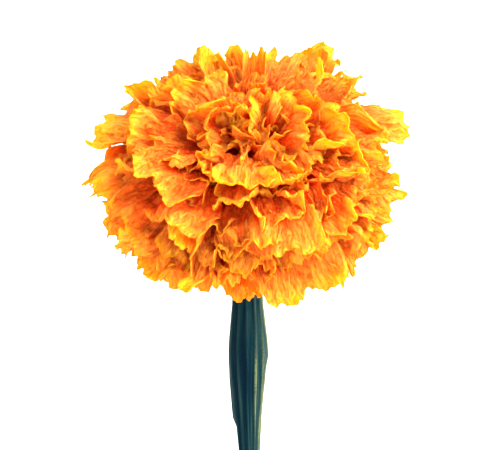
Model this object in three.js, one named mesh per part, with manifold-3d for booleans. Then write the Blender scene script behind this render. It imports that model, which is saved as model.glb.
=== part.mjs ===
// African marigold flower: one picked, full double bloom with its cut stalk, lying on its side.
// Millimetres, +Z up. The flower lies on the plane Z = 0: the bloom rests on its lowest florets
// and the stalk on its cut end. The stalk runs towards -Y, and the bloom faces +Y and upwards.
// It is three grown pieces: the bloom, with its florets sunk in one core; the involucre, a cup of
// bracts grown together under it; and the stalk, fluted and swollen below the bloom.
import * as THREE from "three";
import { mergeVertices } from "three/addons/utils/BufferGeometryUtils.js";
import Module from "manifold-3d";

const solids = await Module();
solids.setup();

const { degToRad, lerp, smoothstep } = THREE.MathUtils;

// Driving dimensions of the bloom. It is a flattened ball, less a dip at its crown.
const BLOOM_RADIUS = 45; // how far the florets reach from the axis
const BLOOM_HALF_HEIGHT = 25;
const BLOOM_MIDDLE = 5; // height of the ball's middle above the receptacle
const CROWN_DIP = 4;
const CROWN_DIP_RADIUS = 9;
const OLDEST_POLAR = degToRad(150); // how far down the back the oldest florets' tips lie
const SEED = 4;

// How a floret's edge lies, in degrees from straight out of the ball.
const LIE = -8;
const SIDE_LIE = 30; // more on the ball's sides
const CROWN_LIE = 38; // more at the crown, within CROWN_SPREAD of the axis
const CROWN_SPREAD = 0.6; // radians
const LIE_SWING = 24;

// What differs from floret to floret: how far its draws take a measure either way, or the
// measure's middle value and that.
const SWAY = 0.16; // radians round the axis, between its root and its tip
const ROLL = 0.6; // radians about its own line
const CROWN_ROLL = 0.5; // more at the crown
const WIDTH_SWING = 0.18; // share of its width
const RUFFLE = [1.2, 0.3];
const WAVES = [1.2, 0.35]; // half waves across each half of it
const CHANNEL = [0.4, 0.7]; // slope with which its sides rise
const CURL = 0.5; // radians, at its edge

// How the flower lies.
const FACE_TILT = degToRad(45); // how far the bloom's face looks up from the horizontal
const RECEPTACLE_Y = 30.5;
const PRESSED = 2.5; // how far the lowest florets are pressed in by the surface
const PRESS_EASE = 1.6;

// The florets' blades. A row of points lies at each share of the way to the edge.
const RULE_FLORETS = 74;
const NO_FLORET = [27, 32, 36, 42, 55, 62]; // steps of the rule at which none grew
const BLADE = 0.7; // thickness
const BLADE_ROWS = [0, 0.5, 1];
const BLADE_COLUMNS = [2, 4, 6];
const CLAW_HALF_WIDTH = 1.3;
const YOUNG_HALF_WIDTH = 6.5;
const OLD_HALF_WIDTH = 11;
const ROOT_RADIUS = 8;
const ROOT_HEIGHT = 5.5;
const LEAVE_SHARE = 0.55; // a floret leaves its root at this share of its tip's polar angle
const LEAVE_PULL = 0.45; // how stiffly it keeps that way, as a share of its span
const ARRIVE_PULL = 0.38; // the same, at its tip
const SUNK = 3; // how far a blade's root is inside the core
const SMALLEST_EDGE = 0.06;

// The green cup: radius and height of its outside, from the stalk up.
const CUP_SIDE = [[4.7, -21], [6.3, -19], [8.2, -15.5], [9.6, -10], [10.2, -4]];
const CUP_RIM_RADIUS = 10.4;
const CUP_RIM = -0.5; // height of the notches between its teeth
const CUP_WALL = 1.2;
const TEETH = 8;
const TOOTH = 3.2;
const STEPS_PER_TOOTH = 5;
const CLEARANCE = 0.35; // between pieces that touch on the real flower

// The photograph looks straight down on the flower. Its pixels place the florets that show best.
const PIXELS_PER_MM = 3.47; // at the height of the ball's middle
const BLOOM_PIXEL = [248, 172]; // over the ball's middle
const PICTURE_MIDDLE = [245, 225];
const CAMERA_DISTANCE = 505; // above the ball's middle

const TURN = 2 * Math.PI;
const GOLDEN_ANGLE = Math.PI * (3 - Math.sqrt(5));

// A repeatable draw from 0 to 1: number i's feature k.
function draw(i, k) {
  const wild = Math.sin(i * 12.9898 + k * 78.233 + SEED) * 43758.5453;
  return wild - Math.floor(wild);
}

// The same draw, from -1 to 1.
const swing = (i, k) => 2 * draw(i, k) - 1;

// The head frame has the receptacle at its origin and +Z out of the bloom's face.
const head = new THREE.Group();
head.rotation.x = FACE_TILT - Math.PI / 2;
const ballReach = Math.hypot(
  BLOOM_HALF_HEIGHT * Math.sin(FACE_TILT),
  BLOOM_RADIUS * Math.cos(FACE_TILT),
);
const ballHeight = ballReach - PRESSED;
head.position.set(0, RECEPTACLE_Y, ballHeight - BLOOM_MIDDLE * Math.sin(FACE_TILT));
head.updateMatrix();
const headInverse = head.matrix.clone().invert();

// A point of the head frame, kept above the surface that the flower lies on: close to it, the
// height eases out towards the surface instead of passing through.
function pressedUp(point) {
  point.applyMatrix4(head.matrix);
  point.z = PRESS_EASE * Math.log1p(Math.exp(point.z / PRESS_EASE));
  return point.applyMatrix4(headInverse);
}

const onCircle = (radius, height, turn) =>
  new THREE.Vector3(radius * Math.cos(turn), radius * Math.sin(turn), height);

// One floret's measures, from where its tip lies: around the axis, down from the crown (polar),
// and reach, its share of the ball's radius. The rest follows from these and the draws of i.
function floretShape(i, around, polar, reach, own = {}) {
  const age = (polar / OLDEST_POLAR) ** 1.4;
  const crown = Math.exp(-((polar / CROWN_SPREAD) ** 2));
  const lie = LIE + SIDE_LIE * Math.sin(polar) + CROWN_LIE * crown + LIE_SWING * swing(i, 4);
  const ruleHalf = lerp(YOUNG_HALF_WIDTH, OLD_HALF_WIDTH, smoothstep(age, 0, 0.3));
  const about = ([middle, spread], k) => middle + spread * swing(i, k);
  const tipRadius = BLOOM_RADIUS * Math.sin(polar) * reach;
  const dip = own.dip ?? CROWN_DIP * Math.exp(-((tipRadius / CROWN_DIP_RADIUS) ** 2));
  return {
    around,
    root: [ROOT_RADIUS * Math.sqrt(age), ROOT_HEIGHT],
    tip: [tipRadius, BLOOM_MIDDLE + BLOOM_HALF_HEIGHT * Math.cos(polar) * reach - dip],
    startPolar: LEAVE_SHARE * polar,
    endPolar: polar + degToRad(lie + (own.droop ?? 0)),
    sway: SWAY * swing(i, 5),
    roll: own.roll ?? (ROLL + CROWN_ROLL * crown) * swing(i, 6),
    halfWidth: own.half ?? ruleHalf * (1 + WIDTH_SWING * swing(i, 7)),
    point: own.point ?? 0,
    ruffle: (own.ruffle ?? 1) * about(RUFFLE, 8),
    beat: Math.PI * about(WAVES, 9),
    phase: TURN * draw(i, 10),
    secondPhase: TURN * draw(i, 11),
    channel: about(CHANNEL, 12),
    lobes: TURN * draw(i, 13),
    curl: CURL * swing(i, 23),
    curlPhase: TURN * draw(i, 24),
    wander: TURN * draw(i, 25),
    crumples: Array.from({ length: 4 }, (_, k) => ({
      turn: TURN * draw(i, 39 + 3 * k),
      rise: swing(i, 40 + 3 * k),
      phase: TURN * draw(i, 41 + 3 * k),
    })),
  };
}

// The florets that show best in the photograph: the pixel over the middle of each one's edge,
// half its width, and where it differs from the rule, its reach, its droop in degrees, its share
// of the usual ruffle, the dip of the ball at it, its roll in radians, and point, how much its
// edge falls back at its sides, as a share of its length.
const SHOWN_FLORETS = [
  // Round the outline, from the top, clockwise.
  { pixel: [251, 54], half: 6, ruffle: 1.2 },
  { pixel: [281, 50], half: 6 },
  { pixel: [299, 49], half: 6 },
  { pixel: [327, 43], half: 8, droop: -10, ruffle: 0.3, roll: 0 },
  { pixel: [365, 80], half: 6, droop: -10, ruffle: 0.4, point: 0.15, roll: 0 },
  { pixel: [413, 118], half: 8.5, droop: -10, ruffle: 0.35, roll: 0 },
  { pixel: [389, 162], half: 7 },
  { pixel: [401, 182], half: 6 },
  { pixel: [399, 213], half: 8, roll: 0.2 },
  { pixel: [385, 241], half: 6, ruffle: 0.6 },
  { pixel: [373, 257], half: 7, ruffle: 0.6 },
  { pixel: [327, 299], half: 8, ruffle: 0.7 },
  { pixel: [286, 309], half: 7.5, ruffle: 0.6 },
  { pixel: [245, 302], half: 6 },
  { pixel: [200, 288], half: 6 },
  { pixel: [182, 291], half: 8, ruffle: 0.6, roll: 0.2 },
  { pixel: [146, 277], half: 8 },
  { pixel: [117, 251], half: 7 },
  { pixel: [98, 205], half: 8 },
  { pixel: [87, 188], half: 5, droop: -10 },
  { pixel: [95, 128], half: 11, droop: -15, ruffle: 0.6 },
  { pixel: [116, 93], half: 5, droop: -20, ruffle: 0.4, point: 0.1, roll: 0 },
  { pixel: [153, 84], half: 5 },
  { pixel: [171, 60], half: 7 },
  { pixel: [193, 50], half: 5 },
  { pixel: [212, 56], half: 5, ruffle: 1.3 },
  { pixel: [232, 52], half: 4.5, ruffle: 1.2 },
  // Over the face, from the left.
  { pixel: [150, 196], half: 11, ruffle: 0.4, droop: 35 },
  { pixel: [170, 232], half: 10, ruffle: 0.5, droop: 30 },
  { pixel: [176, 252], half: 7 },
  { pixel: [208, 183], half: 6, reach: 1.02 },
  { pixel: [243, 190], half: 8, reach: 1.12, ruffle: 0.5, droop: 50, roll: 0 },
  { pixel: [236, 217], half: 6.5, reach: 1.02 },
  { pixel: [249, 252], half: 9, ruffle: 0.7 },
  { pixel: [282, 260], half: 11, ruffle: 0.5, droop: 25 },
  { pixel: [282, 230], half: 8, reach: 1.02 },
  { pixel: [297, 187], half: 8, reach: 1.03 },
  { pixel: [316, 215], half: 8 },
  { pixel: [340, 241], half: 9, ruffle: 0.7 },
  { pixel: [368, 176], half: 8 },
  { pixel: [314, 134], half: 7, droop: 15, ruffle: 0.7 },
  { pixel: [302, 104], half: 8 },
  { pixel: [312, 164], half: 7, droop: 15, ruffle: 0.7 },
  { pixel: [260, 146], half: 7, dip: 3 },
  { pixel: [221, 156], half: 7, dip: 1 },
  { pixel: [245, 115], half: 6, dip: 3 },
  // One more at the outline's lower right.
  { pixel: [349, 281], half: 5 },
];

// Where the line of sight through a pixel meets the ball, grown by reach, as [around, polar,
// reach]. A line that misses it gives the point where it passes closest.
function overPixel(pixel, reach = 1) {
  const middle = new THREE.Vector3(0, 0, BLOOM_MIDDLE);
  const ball = new THREE.Vector3(BLOOM_RADIUS, BLOOM_RADIUS, BLOOM_HALF_HEIGHT);
  const inBall = ([x, y], height) => {
    const step = new THREE.Vector3(x - BLOOM_PIXEL[0], BLOOM_PIXEL[1] - y, 0);
    const point = middle.clone().applyMatrix4(head.matrix);
    point.addScaledVector(step, 1 / PIXELS_PER_MM);
    point.z += height;
    return point.applyMatrix4(headInverse).sub(middle).divide(ball);
  };
  const start = inBall(PICTURE_MIDDLE, CAMERA_DISTANCE);
  const way = inBall(pixel, 0).sub(start).normalize();
  const closest = -start.dot(way);
  const aside = start.clone().addScaledVector(way, closest).length();
  const half = Math.sqrt(Math.max(0, reach * reach - aside * aside));
  const met = start.addScaledVector(way, closest - half);
  return [Math.atan2(met.y, met.x), Math.acos(met.z / met.length()), met.length()];
}

// The florets by the photograph come first. The rest fill the ball by the golden angle, as they
// grow, and leave out those whose tips would lie too close to a shown one's.
const ROOM = 9.5; // between a shown floret's tip and the next one's
const CROWN_ROOM = 4; // the same, at the crown
function allFlorets() {
  const shown = SHOWN_FLORETS.map((own, k) =>
    floretShape(1000 + k, ...overPixel(own.pixel, own.reach), own),
  );
  const tipOf = (f) => onCircle(...f.tip, f.around);
  const taken = shown.map(tipOf);
  const grown = Array.from({ length: RULE_FLORETS }, (_, i) => {
    const age = (i + 0.5) / RULE_FLORETS;
    const around = i * GOLDEN_ANGLE + 0.1 * swing(i, 1);
    const polar = OLDEST_POLAR * age ** 0.75;
    return floretShape(i, around, polar, 1 + 0.05 * swing(i, 3));
  });
  const roomOf = (f) => lerp(CROWN_ROOM, ROOM, smoothstep(f.tip[0], 0, 20));
  const isFree = (f) => taken.every((t) => t.distanceTo(tipOf(f)) > roomOf(f));
  return [...shown, ...grown.filter((f, i) => !NO_FLORET.includes(i) && isFree(f))];
}

// The line that a floret grows along, a cubic curve in a plane through the axis.
function floretLine(f) {
  const root = onCircle(...f.root, f.around - f.sway);
  const tip = onCircle(...f.tip, f.around);
  const span = root.distanceTo(tip);
  const leave = onCircle(Math.sin(f.startPolar), Math.cos(f.startPolar), f.around - f.sway);
  const arrive = onCircle(Math.sin(f.endPolar), Math.cos(f.endPolar), f.around);
  return new THREE.CubicBezierCurve3(
    root,
    root.clone().addScaledVector(leave, LEAVE_PULL * span),
    tip.clone().addScaledVector(arrive, -ARRIVE_PULL * span),
    tip,
  );
}

// The offset of a crumpled floret's sheet at a point: four sine waves through space.
const CRUMPLE = 1.1;
const CRUMPLE_WAVELENGTH = 9;
function crumpleAt(f, point) {
  let total = 0;
  for (const { turn, rise, phase } of f.crumples) {
    const way = onCircle(Math.sqrt(1 - rise * rise), rise, turn);
    total += Math.sin((point.dot(way) * TURN) / CRUMPLE_WAVELENGTH + phase);
  }
  return (CRUMPLE * total) / 2;
}

// A point of a floret's middle surface. u runs from its root to its edge, and v from -1 to 1
// across it. Across, the blade is a wave given by its slope, so it keeps its width as it folds.
// Along, it curls from CURL_START on, also given by its slope.
const LIMB_START = 0.3; // where the claw ends
const FAN_START = 0.2;
const FAN_END = 0.88;
const FLARE = 0.35; // how much more a ruffled edge widens
const WIDE_FOLD = 0.75;
const NARROW_FOLD = 0.8;
const NARROW_BEAT = 2.3; // narrow folds for each wide one
const EDGE = { height: 0.98, rounding: 0.08, lobe: 0.03 };
const SLOPE_STEPS = 12;
const CURL_START = 0.6;
const CURL_STEPS = 6;
const CURL_LENGTH = 40;
function floretPoint(f, line, u, v) {
  const limb = Math.max(0, (u - LIMB_START) / (1 - LIMB_START));
  const fan = lerp(CLAW_HALF_WIDTH, f.halfWidth, smoothstep(u, FAN_START, FAN_END));
  const halfWidth = fan * (1 + FLARE * f.ruffle * limb ** 4);
  let across = 0;
  let up = 0;
  for (let k = 0; k < SLOPE_STEPS; k++) {
    const w = (v * (k + 0.5)) / SLOPE_STEPS;
    const wander = f.secondPhase + 1.2 * Math.sin(2.1 * w + 3 * u + f.wander);
    const slope =
      WIDE_FOLD * f.ruffle * limb ** 1.3 * Math.sin(f.beat * w + f.phase) +
      NARROW_FOLD * f.ruffle * limb ** 3 * Math.sin(NARROW_BEAT * f.beat * w + wander) +
      f.channel * w;
    across += Math.cos(slope);
    up += Math.sin(slope);
  }
  across *= (v * halfWidth) / SLOPE_STEPS;
  up *= (v * halfWidth) / SLOPE_STEPS;

  const curled = Math.max(0, u - CURL_START);
  const curl = f.curl + 0.2 * Math.sin(f.beat * v + f.curlPhase);
  let back = 0;
  for (let k = 0; k < CURL_STEPS; k++) {
    const w = CURL_START + (curled * (k + 0.5)) / CURL_STEPS;
    const bend = curl * smoothstep(w, CURL_START, 1);
    back += ((Math.cos(bend) - 1) * curled * CURL_LENGTH) / CURL_STEPS;
    up += (Math.sin(bend) * curled * CURL_LENGTH) / CURL_STEPS;
  }

  const fallen = EDGE.rounding * v ** 4 + f.point * Math.abs(v);
  const edge = EDGE.height - fallen + EDGE.lobe * Math.sin(4 * v + f.lobes);
  const along = Math.min(1, u * lerp(1, edge, limb));
  const tangent = line.getTangent(along);
  const turn = f.around - f.sway * (1 - u);
  const side = onCircle(1, 0, turn + Math.PI / 2);
  side.addScaledVector(tangent, -side.dot(tangent)).normalize();
  side.applyAxisAngle(tangent, f.roll * limb);
  const face = new THREE.Vector3().crossVectors(tangent, side);
  const point = line.getPoint(along).addScaledVector(side, across).addScaledVector(face, up);
  point.addScaledVector(tangent, back);
  return point.addScaledVector(face, limb * crumpleAt(f, point));
}

// The core's outline, as radius and height: a plug in the green cup, and a cushion above it.
const CORE_SIDE = [
  ...CUP_SIDE.slice(1).map(([r, z]) => [r - CUP_WALL - CLEARANCE, z + 0.6]),
  [CUP_RIM_RADIUS - CUP_WALL - CLEARANCE, 3.5],
  [25, 3.5],
  [31, 7],
  [32, 11],
  [27, 16.5],
  [17, 18.5],
  [8, 16.5],
];
const CORE_TOP = 13.5;
const CORE_ROUND = 24;

function inCore(point) {
  const radius = Math.hypot(point.x, point.y);
  const outline = [[0, CORE_SIDE[0][1]], ...CORE_SIDE, [0, CORE_TOP]];
  let inside = false;
  for (let k = 1; k < outline.length; k++) {
    const [r0, z0] = outline[k - 1];
    const [r1, z1] = outline[k];
    const between = z0 > point.z !== z1 > point.z;
    if (between && radius < r0 + ((point.z - z0) / (z1 - z0)) * (r1 - r0)) inside = !inside;
  }
  return inside;
}

// How far along its line a floret comes out of the core, less what stays sunk in it.
function buriedStart(line) {
  const steps = 40;
  for (let k = steps; k > 0; k--)
    if (inCore(line.getPoint(k / steps))) return Math.max(0, k / steps - SUNK / line.getLength());
  return 0;
}

// A solid from a closed mesh's vertices and triangles.
function solidOf(positions, triangles) {
  return new solids.Manifold(
    new solids.Mesh({
      numProp: 3,
      vertProperties: new Float32Array(positions),
      triVerts: new Uint32Array(triangles),
    }),
  );
}

// The triangles between two rows of points that each run from v = -1 to 1.
function zip(lower, upper) {
  const triangles = [];
  let a = 0;
  let b = 0;
  while (a < lower.length - 1 || b < upper.length - 1) {
    const nextA = (a + 1) / (lower.length - 1);
    const nextB = (b + 1) / (upper.length - 1);
    if (b === upper.length - 1 || (a < lower.length - 1 && nextA < nextB)) {
      triangles.push([lower[a], lower[a + 1], upper[b]]);
      a += 1;
    } else {
      triangles.push([lower[a], upper[b + 1], upper[b]]);
      b += 1;
    }
  }
  return triangles;
}

// One floret as a closed blade: its middle surface, moved half a thickness each way.
function floretBlade(f) {
  const line = floretLine(f);
  const start = buriedStart(line);
  const middle = [];
  const rows = BLADE_ROWS.map((share, r) =>
    Array.from({ length: BLADE_COLUMNS[r] }, (_, c) => {
      const v = (2 * c) / (BLADE_COLUMNS[r] - 1) - 1;
      middle.push(pressedUp(floretPoint(f, line, lerp(start, 1, share), v)));
      return middle.length - 1;
    }),
  );
  const face = rows.slice(1).flatMap((row, r) => zip(rows[r], row));

  const normals = middle.map(() => new THREE.Vector3());
  for (const [a, b, c] of face) {
    const ab = middle[b].clone().sub(middle[a]);
    const normal = ab.cross(middle[c].clone().sub(middle[a])).normalize();
    [a, b, c].forEach((k) => normals[k].add(normal));
  }
  const moved = (way) =>
    middle.flatMap((p, k) => {
      const step = normals[k].clone().setLength((way * BLADE) / 2);
      return p.clone().add(step).toArray();
    });

  const count = middle.length;
  const last = rows.length - 1;
  const between = rows.slice(1, last);
  const outline = [
    ...rows[0],
    ...between.map((row) => row.at(-1)),
    ...rows[last].toReversed(),
    ...between.map((row) => row[0]).toReversed(),
  ];
  const rim = outline.flatMap((a, k) => {
    const b = outline[(k + 1) % outline.length];
    return [[a, a + count, b + count], [a, b + count, b]];
  });
  const under = face.map(([a, b, c]) => [a + count, c + count, b + count]);
  return solidOf([...moved(1), ...moved(-1)], [...face, ...under, ...rim].flat());
}

// A solid skinned over rings of points, each with as many points, and closed at both ends. The
// rings follow each other the way that their turn's right-hand rule points.
function skin(rings, firstCentre, lastCentre) {
  const round = rings[0].length;
  const points = [...rings.flat(), firstCentre, lastCentre];
  const first = points.length - 2;
  const last = points.length - 1;
  const top = (rings.length - 1) * round;
  const triangles = [];
  for (let k = 0; k < round; k++) {
    const next = (k + 1) % round;
    triangles.push([first, next, k], [last, top + k, top + next]);
    for (let a = 0; a < top; a += round) {
      const b = a + round;
      triangles.push([a + k, a + next, b + next], [a + k, b + next, b + k]);
    }
  }
  return solidOf(points.flatMap((p) => p.toArray()), triangles.flat());
}

// A ring about the head's axis. Radius and height are functions of the turn, from 0 to 1.
function ring(count, radius, height) {
  return Array.from({ length: count }, (_, k) => {
    const share = k / count;
    return onCircle(radius(share), height(share), TURN * share);
  });
}

function bloomCore() {
  const rings = CORE_SIDE.map(([r, z]) => ring(CORE_ROUND, () => r, () => z));
  return skin(rings, new THREE.Vector3(0, 0, CORE_SIDE[0][1]), new THREE.Vector3(0, 0, CORE_TOP));
}

// The cup: bracts grown together, each with a rounded back and a free triangular tooth.
const CUP_ROUND = TEETH * STEPS_PER_TOOTH;
const CUP_FLOOR = 0.2; // how much higher than the outside's second ring the inside's floor is
const toothShare = (share) => 1 - Math.abs(2 * ((share * TEETH) % 1) - 1);
const rimHeight = (share) => CUP_RIM + TOOTH * toothShare(share) ** 1.2;
const bractBack = (share) => 1 + 0.04 * (toothShare(share) - 0.5);

function involucre() {
  const outside = CUP_SIDE.map(([r, z]) => ring(CUP_ROUND, (k) => r * bractBack(k), () => z));
  const rimOut = ring(CUP_ROUND, () => CUP_RIM_RADIUS, rimHeight);
  const rimIn = ring(CUP_ROUND, () => CUP_RIM_RADIUS - 0.7 * CUP_WALL, rimHeight);
  const inside = CUP_SIDE.slice(1)
    .map(([r, z]) => ring(CUP_ROUND, () => r - CUP_WALL, () => z + CUP_FLOOR))
    .toReversed();
  const bottom = new THREE.Vector3(0, 0, CUP_SIDE[0][1]);
  const floor = new THREE.Vector3(0, 0, CUP_SIDE[1][1] + CUP_FLOOR);
  return skin([...outside, rimOut, rimIn, ...inside], bottom, floor);
}

// What the bloom leaves free for the cup's teeth.
function toothRoom() {
  const low = CUP_RIM - 3;
  const high = CUP_RIM + TOOTH + CLEARANCE;
  const outer = CUP_RIM_RADIUS + CLEARANCE;
  const inner = CUP_RIM_RADIUS - CUP_WALL - CLEARANCE;
  const room = new THREE.LatheGeometry(
    [[inner, low], [outer, low], [outer, high], [inner, high], [inner, low]].map(
      ([r, z]) => new THREE.Vector2(r, z),
    ),
    CUP_ROUND,
  );
  room.rotateX(Math.PI / 2);
  room.deleteAttribute("normal");
  room.deleteAttribute("uv");
  const closed = mergeVertices(room, 1e-3);
  return solidOf(closed.attributes.position.array, closed.index.array);
}

// The stalk leaves the cup along the bloom's axis, bends at the neck and slopes down to its cut
// end. Its radius and its two wings are broken lines: [share of its length, millimetres].
const STALK_END = new THREE.Vector3(1.2, RECEPTACLE_Y - 104, 3.1);
const NECK_PULL = 19;
const LYING_PULL = 50;
const LYING_WAY = new THREE.Vector3(-0.036, 1, 0.096); // from the cut end back towards the bloom
const STALK_RADIUS = [
  [0, 4.3],
  [0.15, 4.1],
  [0.25, 4.2],
  [0.37, 4.95],
  [0.42, 5.05],
  [0.5, 4.7],
  [0.63, 3.75],
  [0.74, 3],
  [1, 2.8],
];
const LEFT_WING = [[0, 0], [0.2, 0.2], [0.37, 0.6], [0.5, 0.9], [0.63, 1.1], [0.66, 0], [1, 0]];
const RIGHT_WING = [[0, 0], [0.2, 0.1], [0.37, 0.9], [0.42, 1.1], [0.47, 0.5], [0.6, 0], [1, 0]];
const WING_SHARPNESS = 12;
const RIBS = 11;
const RIB = 0.32;
const RIB_TURN = degToRad(93); // of a rib that faces up
const STEPS_PER_RIB = 4;
const STALK_RINGS = 27;

// The height of a broken line at a share of its length.
function heightAt(points, share) {
  const k = Math.max(1, points.findIndex(([s]) => s >= share));
  const [s0, h0] = points[k - 1];
  const [s1, h1] = points[k];
  return lerp(h0, h1, (share - s0) / (s1 - s0));
}

function stalk() {
  const top = new THREE.Vector3(0, 0, CUP_SIDE[0][1] - CLEARANCE).applyMatrix4(head.matrix);
  const down = new THREE.Vector3(0, 0, -1).transformDirection(head.matrix);
  const line = new THREE.CubicBezierCurve3(
    top,
    top.clone().addScaledVector(down, NECK_PULL),
    STALK_END.clone().addScaledVector(LYING_WAY, LYING_PULL),
    STALK_END,
  );
  const round = RIBS * STEPS_PER_RIB;
  const rings = Array.from({ length: STALK_RINGS + 1 }, (_, r) => {
    const share = r / STALK_RINGS;
    const centre = line.getPointAt(share);
    const forward = line.getTangentAt(share);
    const right = new THREE.Vector3(1, 0, 0);
    right.addScaledVector(forward, -right.dot(forward)).normalize();
    const up = new THREE.Vector3().crossVectors(forward, right);
    return Array.from({ length: round }, (_, k) => {
      const turn = (TURN * k) / round;
      const wing =
        Math.max(0, Math.cos(turn)) ** WING_SHARPNESS * heightAt(RIGHT_WING, share) +
        Math.max(0, -Math.cos(turn)) ** WING_SHARPNESS * heightAt(LEFT_WING, share);
      const radius = heightAt(STALK_RADIUS, share) + RIB * Math.cos(RIBS * (turn - RIB_TURN)) + wing;
      return centre
        .clone()
        .addScaledVector(right, radius * Math.cos(turn))
        .addScaledVector(up, radius * Math.sin(turn));
    });
  });
  return skin(rings, top, STALK_END);
}

function meshOf(name, solid, material) {
  const { vertProperties, triVerts } = solid.getMesh();
  const geometry = new THREE.BufferGeometry();
  geometry.setAttribute("position", new THREE.BufferAttribute(vertProperties, 3));
  geometry.setIndex(new THREE.BufferAttribute(triVerts, 1));
  const mesh = new THREE.Mesh(geometry, material);
  mesh.name = name;
  return mesh;
}

// The core and every floret as one body. The cut leaves room for the cup's teeth, and the few
// hollows that crossing blades seal off between them are filled in.
function bloom() {
  const blades = allFlorets().map(floretBlade);
  const whole = solids.Manifold.union([bloomCore(), ...blades]).subtract(toothRoom());
  const bodies = whole.simplify(SMALLEST_EDGE).decompose();
  return bodies.reduce((a, b) => (a.volume() > b.volume() ? a : b));
}

const petal = new THREE.MeshStandardMaterial({ color: 0xff9a1c, roughness: 0.6, metalness: 0 });
const cupGreen = new THREE.MeshStandardMaterial({ color: 0x5d7d3a, roughness: 0.55, metalness: 0 });
const stalkGreen = new THREE.MeshStandardMaterial({ color: 0x2f4d45, roughness: 0.5, metalness: 0 });

head.add(meshOf("bloom", bloom(), petal));
head.add(meshOf("involucre", involucre(), cupGreen));

const flower = new THREE.Group();
flower.add(head);
flower.add(meshOf("stalk", stalk(), stalkGreen));

export default flower;
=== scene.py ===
# %% [markdown]
# # An African marigold, picked and laid down
#
# The real flower is a ball of crinkled florets, a green cup of bracts that holds them, and a
# swollen, ribbed stalk. It could be sculpted by hand, or made from one petal copied many times.
# Here every floret is worked out by one formula, because no two on the flower are alike, and a
# formula can change all of them at once.

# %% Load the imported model
import math

import bpy
import numpy as np
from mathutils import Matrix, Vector


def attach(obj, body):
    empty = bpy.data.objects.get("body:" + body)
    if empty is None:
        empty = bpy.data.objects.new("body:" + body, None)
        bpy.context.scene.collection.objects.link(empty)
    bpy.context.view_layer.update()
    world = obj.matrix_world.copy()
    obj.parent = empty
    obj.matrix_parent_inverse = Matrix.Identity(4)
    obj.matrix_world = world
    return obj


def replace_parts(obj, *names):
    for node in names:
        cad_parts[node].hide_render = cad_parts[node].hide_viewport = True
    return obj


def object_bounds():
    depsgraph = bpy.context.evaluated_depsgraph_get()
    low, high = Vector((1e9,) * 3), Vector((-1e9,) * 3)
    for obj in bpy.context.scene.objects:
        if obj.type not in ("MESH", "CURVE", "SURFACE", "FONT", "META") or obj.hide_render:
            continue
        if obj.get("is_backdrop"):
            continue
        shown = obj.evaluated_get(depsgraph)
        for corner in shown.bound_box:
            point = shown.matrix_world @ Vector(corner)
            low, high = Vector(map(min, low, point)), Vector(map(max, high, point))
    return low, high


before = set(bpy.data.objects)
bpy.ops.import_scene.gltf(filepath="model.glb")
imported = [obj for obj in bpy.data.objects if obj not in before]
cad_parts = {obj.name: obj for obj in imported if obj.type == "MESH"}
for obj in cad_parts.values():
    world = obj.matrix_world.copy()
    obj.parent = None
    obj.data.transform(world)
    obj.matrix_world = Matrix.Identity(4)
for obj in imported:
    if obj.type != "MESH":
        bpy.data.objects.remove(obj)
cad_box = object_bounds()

print("CAD nodes:", sorted(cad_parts))
print("CAD box in metres:", cad_box)

# %% [markdown]
# ## From a grid of points to a mesh
#
# Petals, cup and stalk are all skins, which could be modelled face by face or with modifiers.
# Here each is a grid of points, because numpy works out such a grid at once, and its faces follow
# from the points' numbers. A flower's sizes are easiest to think of in millimetres, and Blender's
# unit is the metre, so the points are changed once, on their way into the mesh.

# %% A mesh piece
MM = 0.001
TAU = 2 * math.pi


def piece_from(name, points, faces, material, uv=None, attributes=None, poles=()):
    """A mesh object at the origin. points are in mm, faces are rows of four vertices, uv holds two
    numbers for each point, attributes maps a name to one number for each point, and poles are
    rings of vertices that a face closes."""
    mesh = bpy.data.meshes.new(name)
    closing = [ring.tolist() for ring in poles]
    mesh.from_pydata((points * MM).tolist(), [], faces.tolist() + closing)
    corners = np.empty(len(mesh.loops), dtype=np.int32)
    mesh.loops.foreach_get("vertex_index", corners)
    if uv is not None:
        layer = mesh.uv_layers.new(name="UVMap")
        layer.data.foreach_set("uv", uv[corners].astype(np.float32).ravel())
    for key, values in (attributes or {}).items():
        layer = mesh.attributes.new(key, "FLOAT", "POINT")
        layer.data.foreach_set("value", values.astype(np.float32))
    mesh.polygons.foreach_set("use_smooth", np.ones(len(mesh.polygons), dtype=bool))
    mesh.update()
    mesh.materials.append(material)
    made = bpy.data.objects.new(name, mesh)
    bpy.context.scene.collection.objects.link(made)
    triangles = sum(len(face.vertices) - 2 for face in mesh.polygons)
    print(name, "has", len(mesh.vertices), "points and", triangles, "triangles")
    return made


# %% Faces of a grid
def grid_faces(rows, columns, around=False):
    """Rows of four vertex numbers for the cells of a grid of points. With around, the last column
    joins the first."""
    down = np.arange(rows - 1)[:, None] * columns
    across = np.arange(columns if around else columns - 1)[None, :]
    beside = (across + 1) % columns
    corners = [down + across, down + beside, down + columns + beside, down + columns + across]
    return np.stack(corners, axis=-1).reshape(-1, 4)


def poles_of(rows, columns):
    """The first and the last ring of a grid that runs round, each turned to face outwards."""
    ring = np.arange(columns)
    return ring[::-1], ring + (rows - 1) * columns


print("A grid of 3 by 4 points has", len(grid_faces(3, 4)), "faces")

# %% [markdown]
# ## Colours and shader nodes
#
# A colour seen in a picture is an sRGB value, but light adds up in linear values, so one function
# turns every hex value to linear. The materials could be built in the node editor. In a script,
# one small function that adds a node, sets it and links it is all that they need.

# %% Colour
def colour(hex_value):
    """A linear RGBA colour from an sRGB hex value such as "#ff9a1e"."""
    parts = np.array([int(hex_value[k : k + 2], 16) / 255 for k in (1, 3, 5)])
    linear = np.where(parts <= 0.04045, parts / 12.92, ((parts + 0.055) / 1.055) ** 2.4)
    return (*linear.tolist(), 1.0)


print("Middle grey is", round(colour("#808080")[0], 3), "in linear values")


# %% Shader nodes
MULTIPLY_ADD = dict(operation="MULTIPLY_ADD")
ADD = dict(operation="ADD")
COLOUR_MIX = dict(data_type="RGBA")


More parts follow.
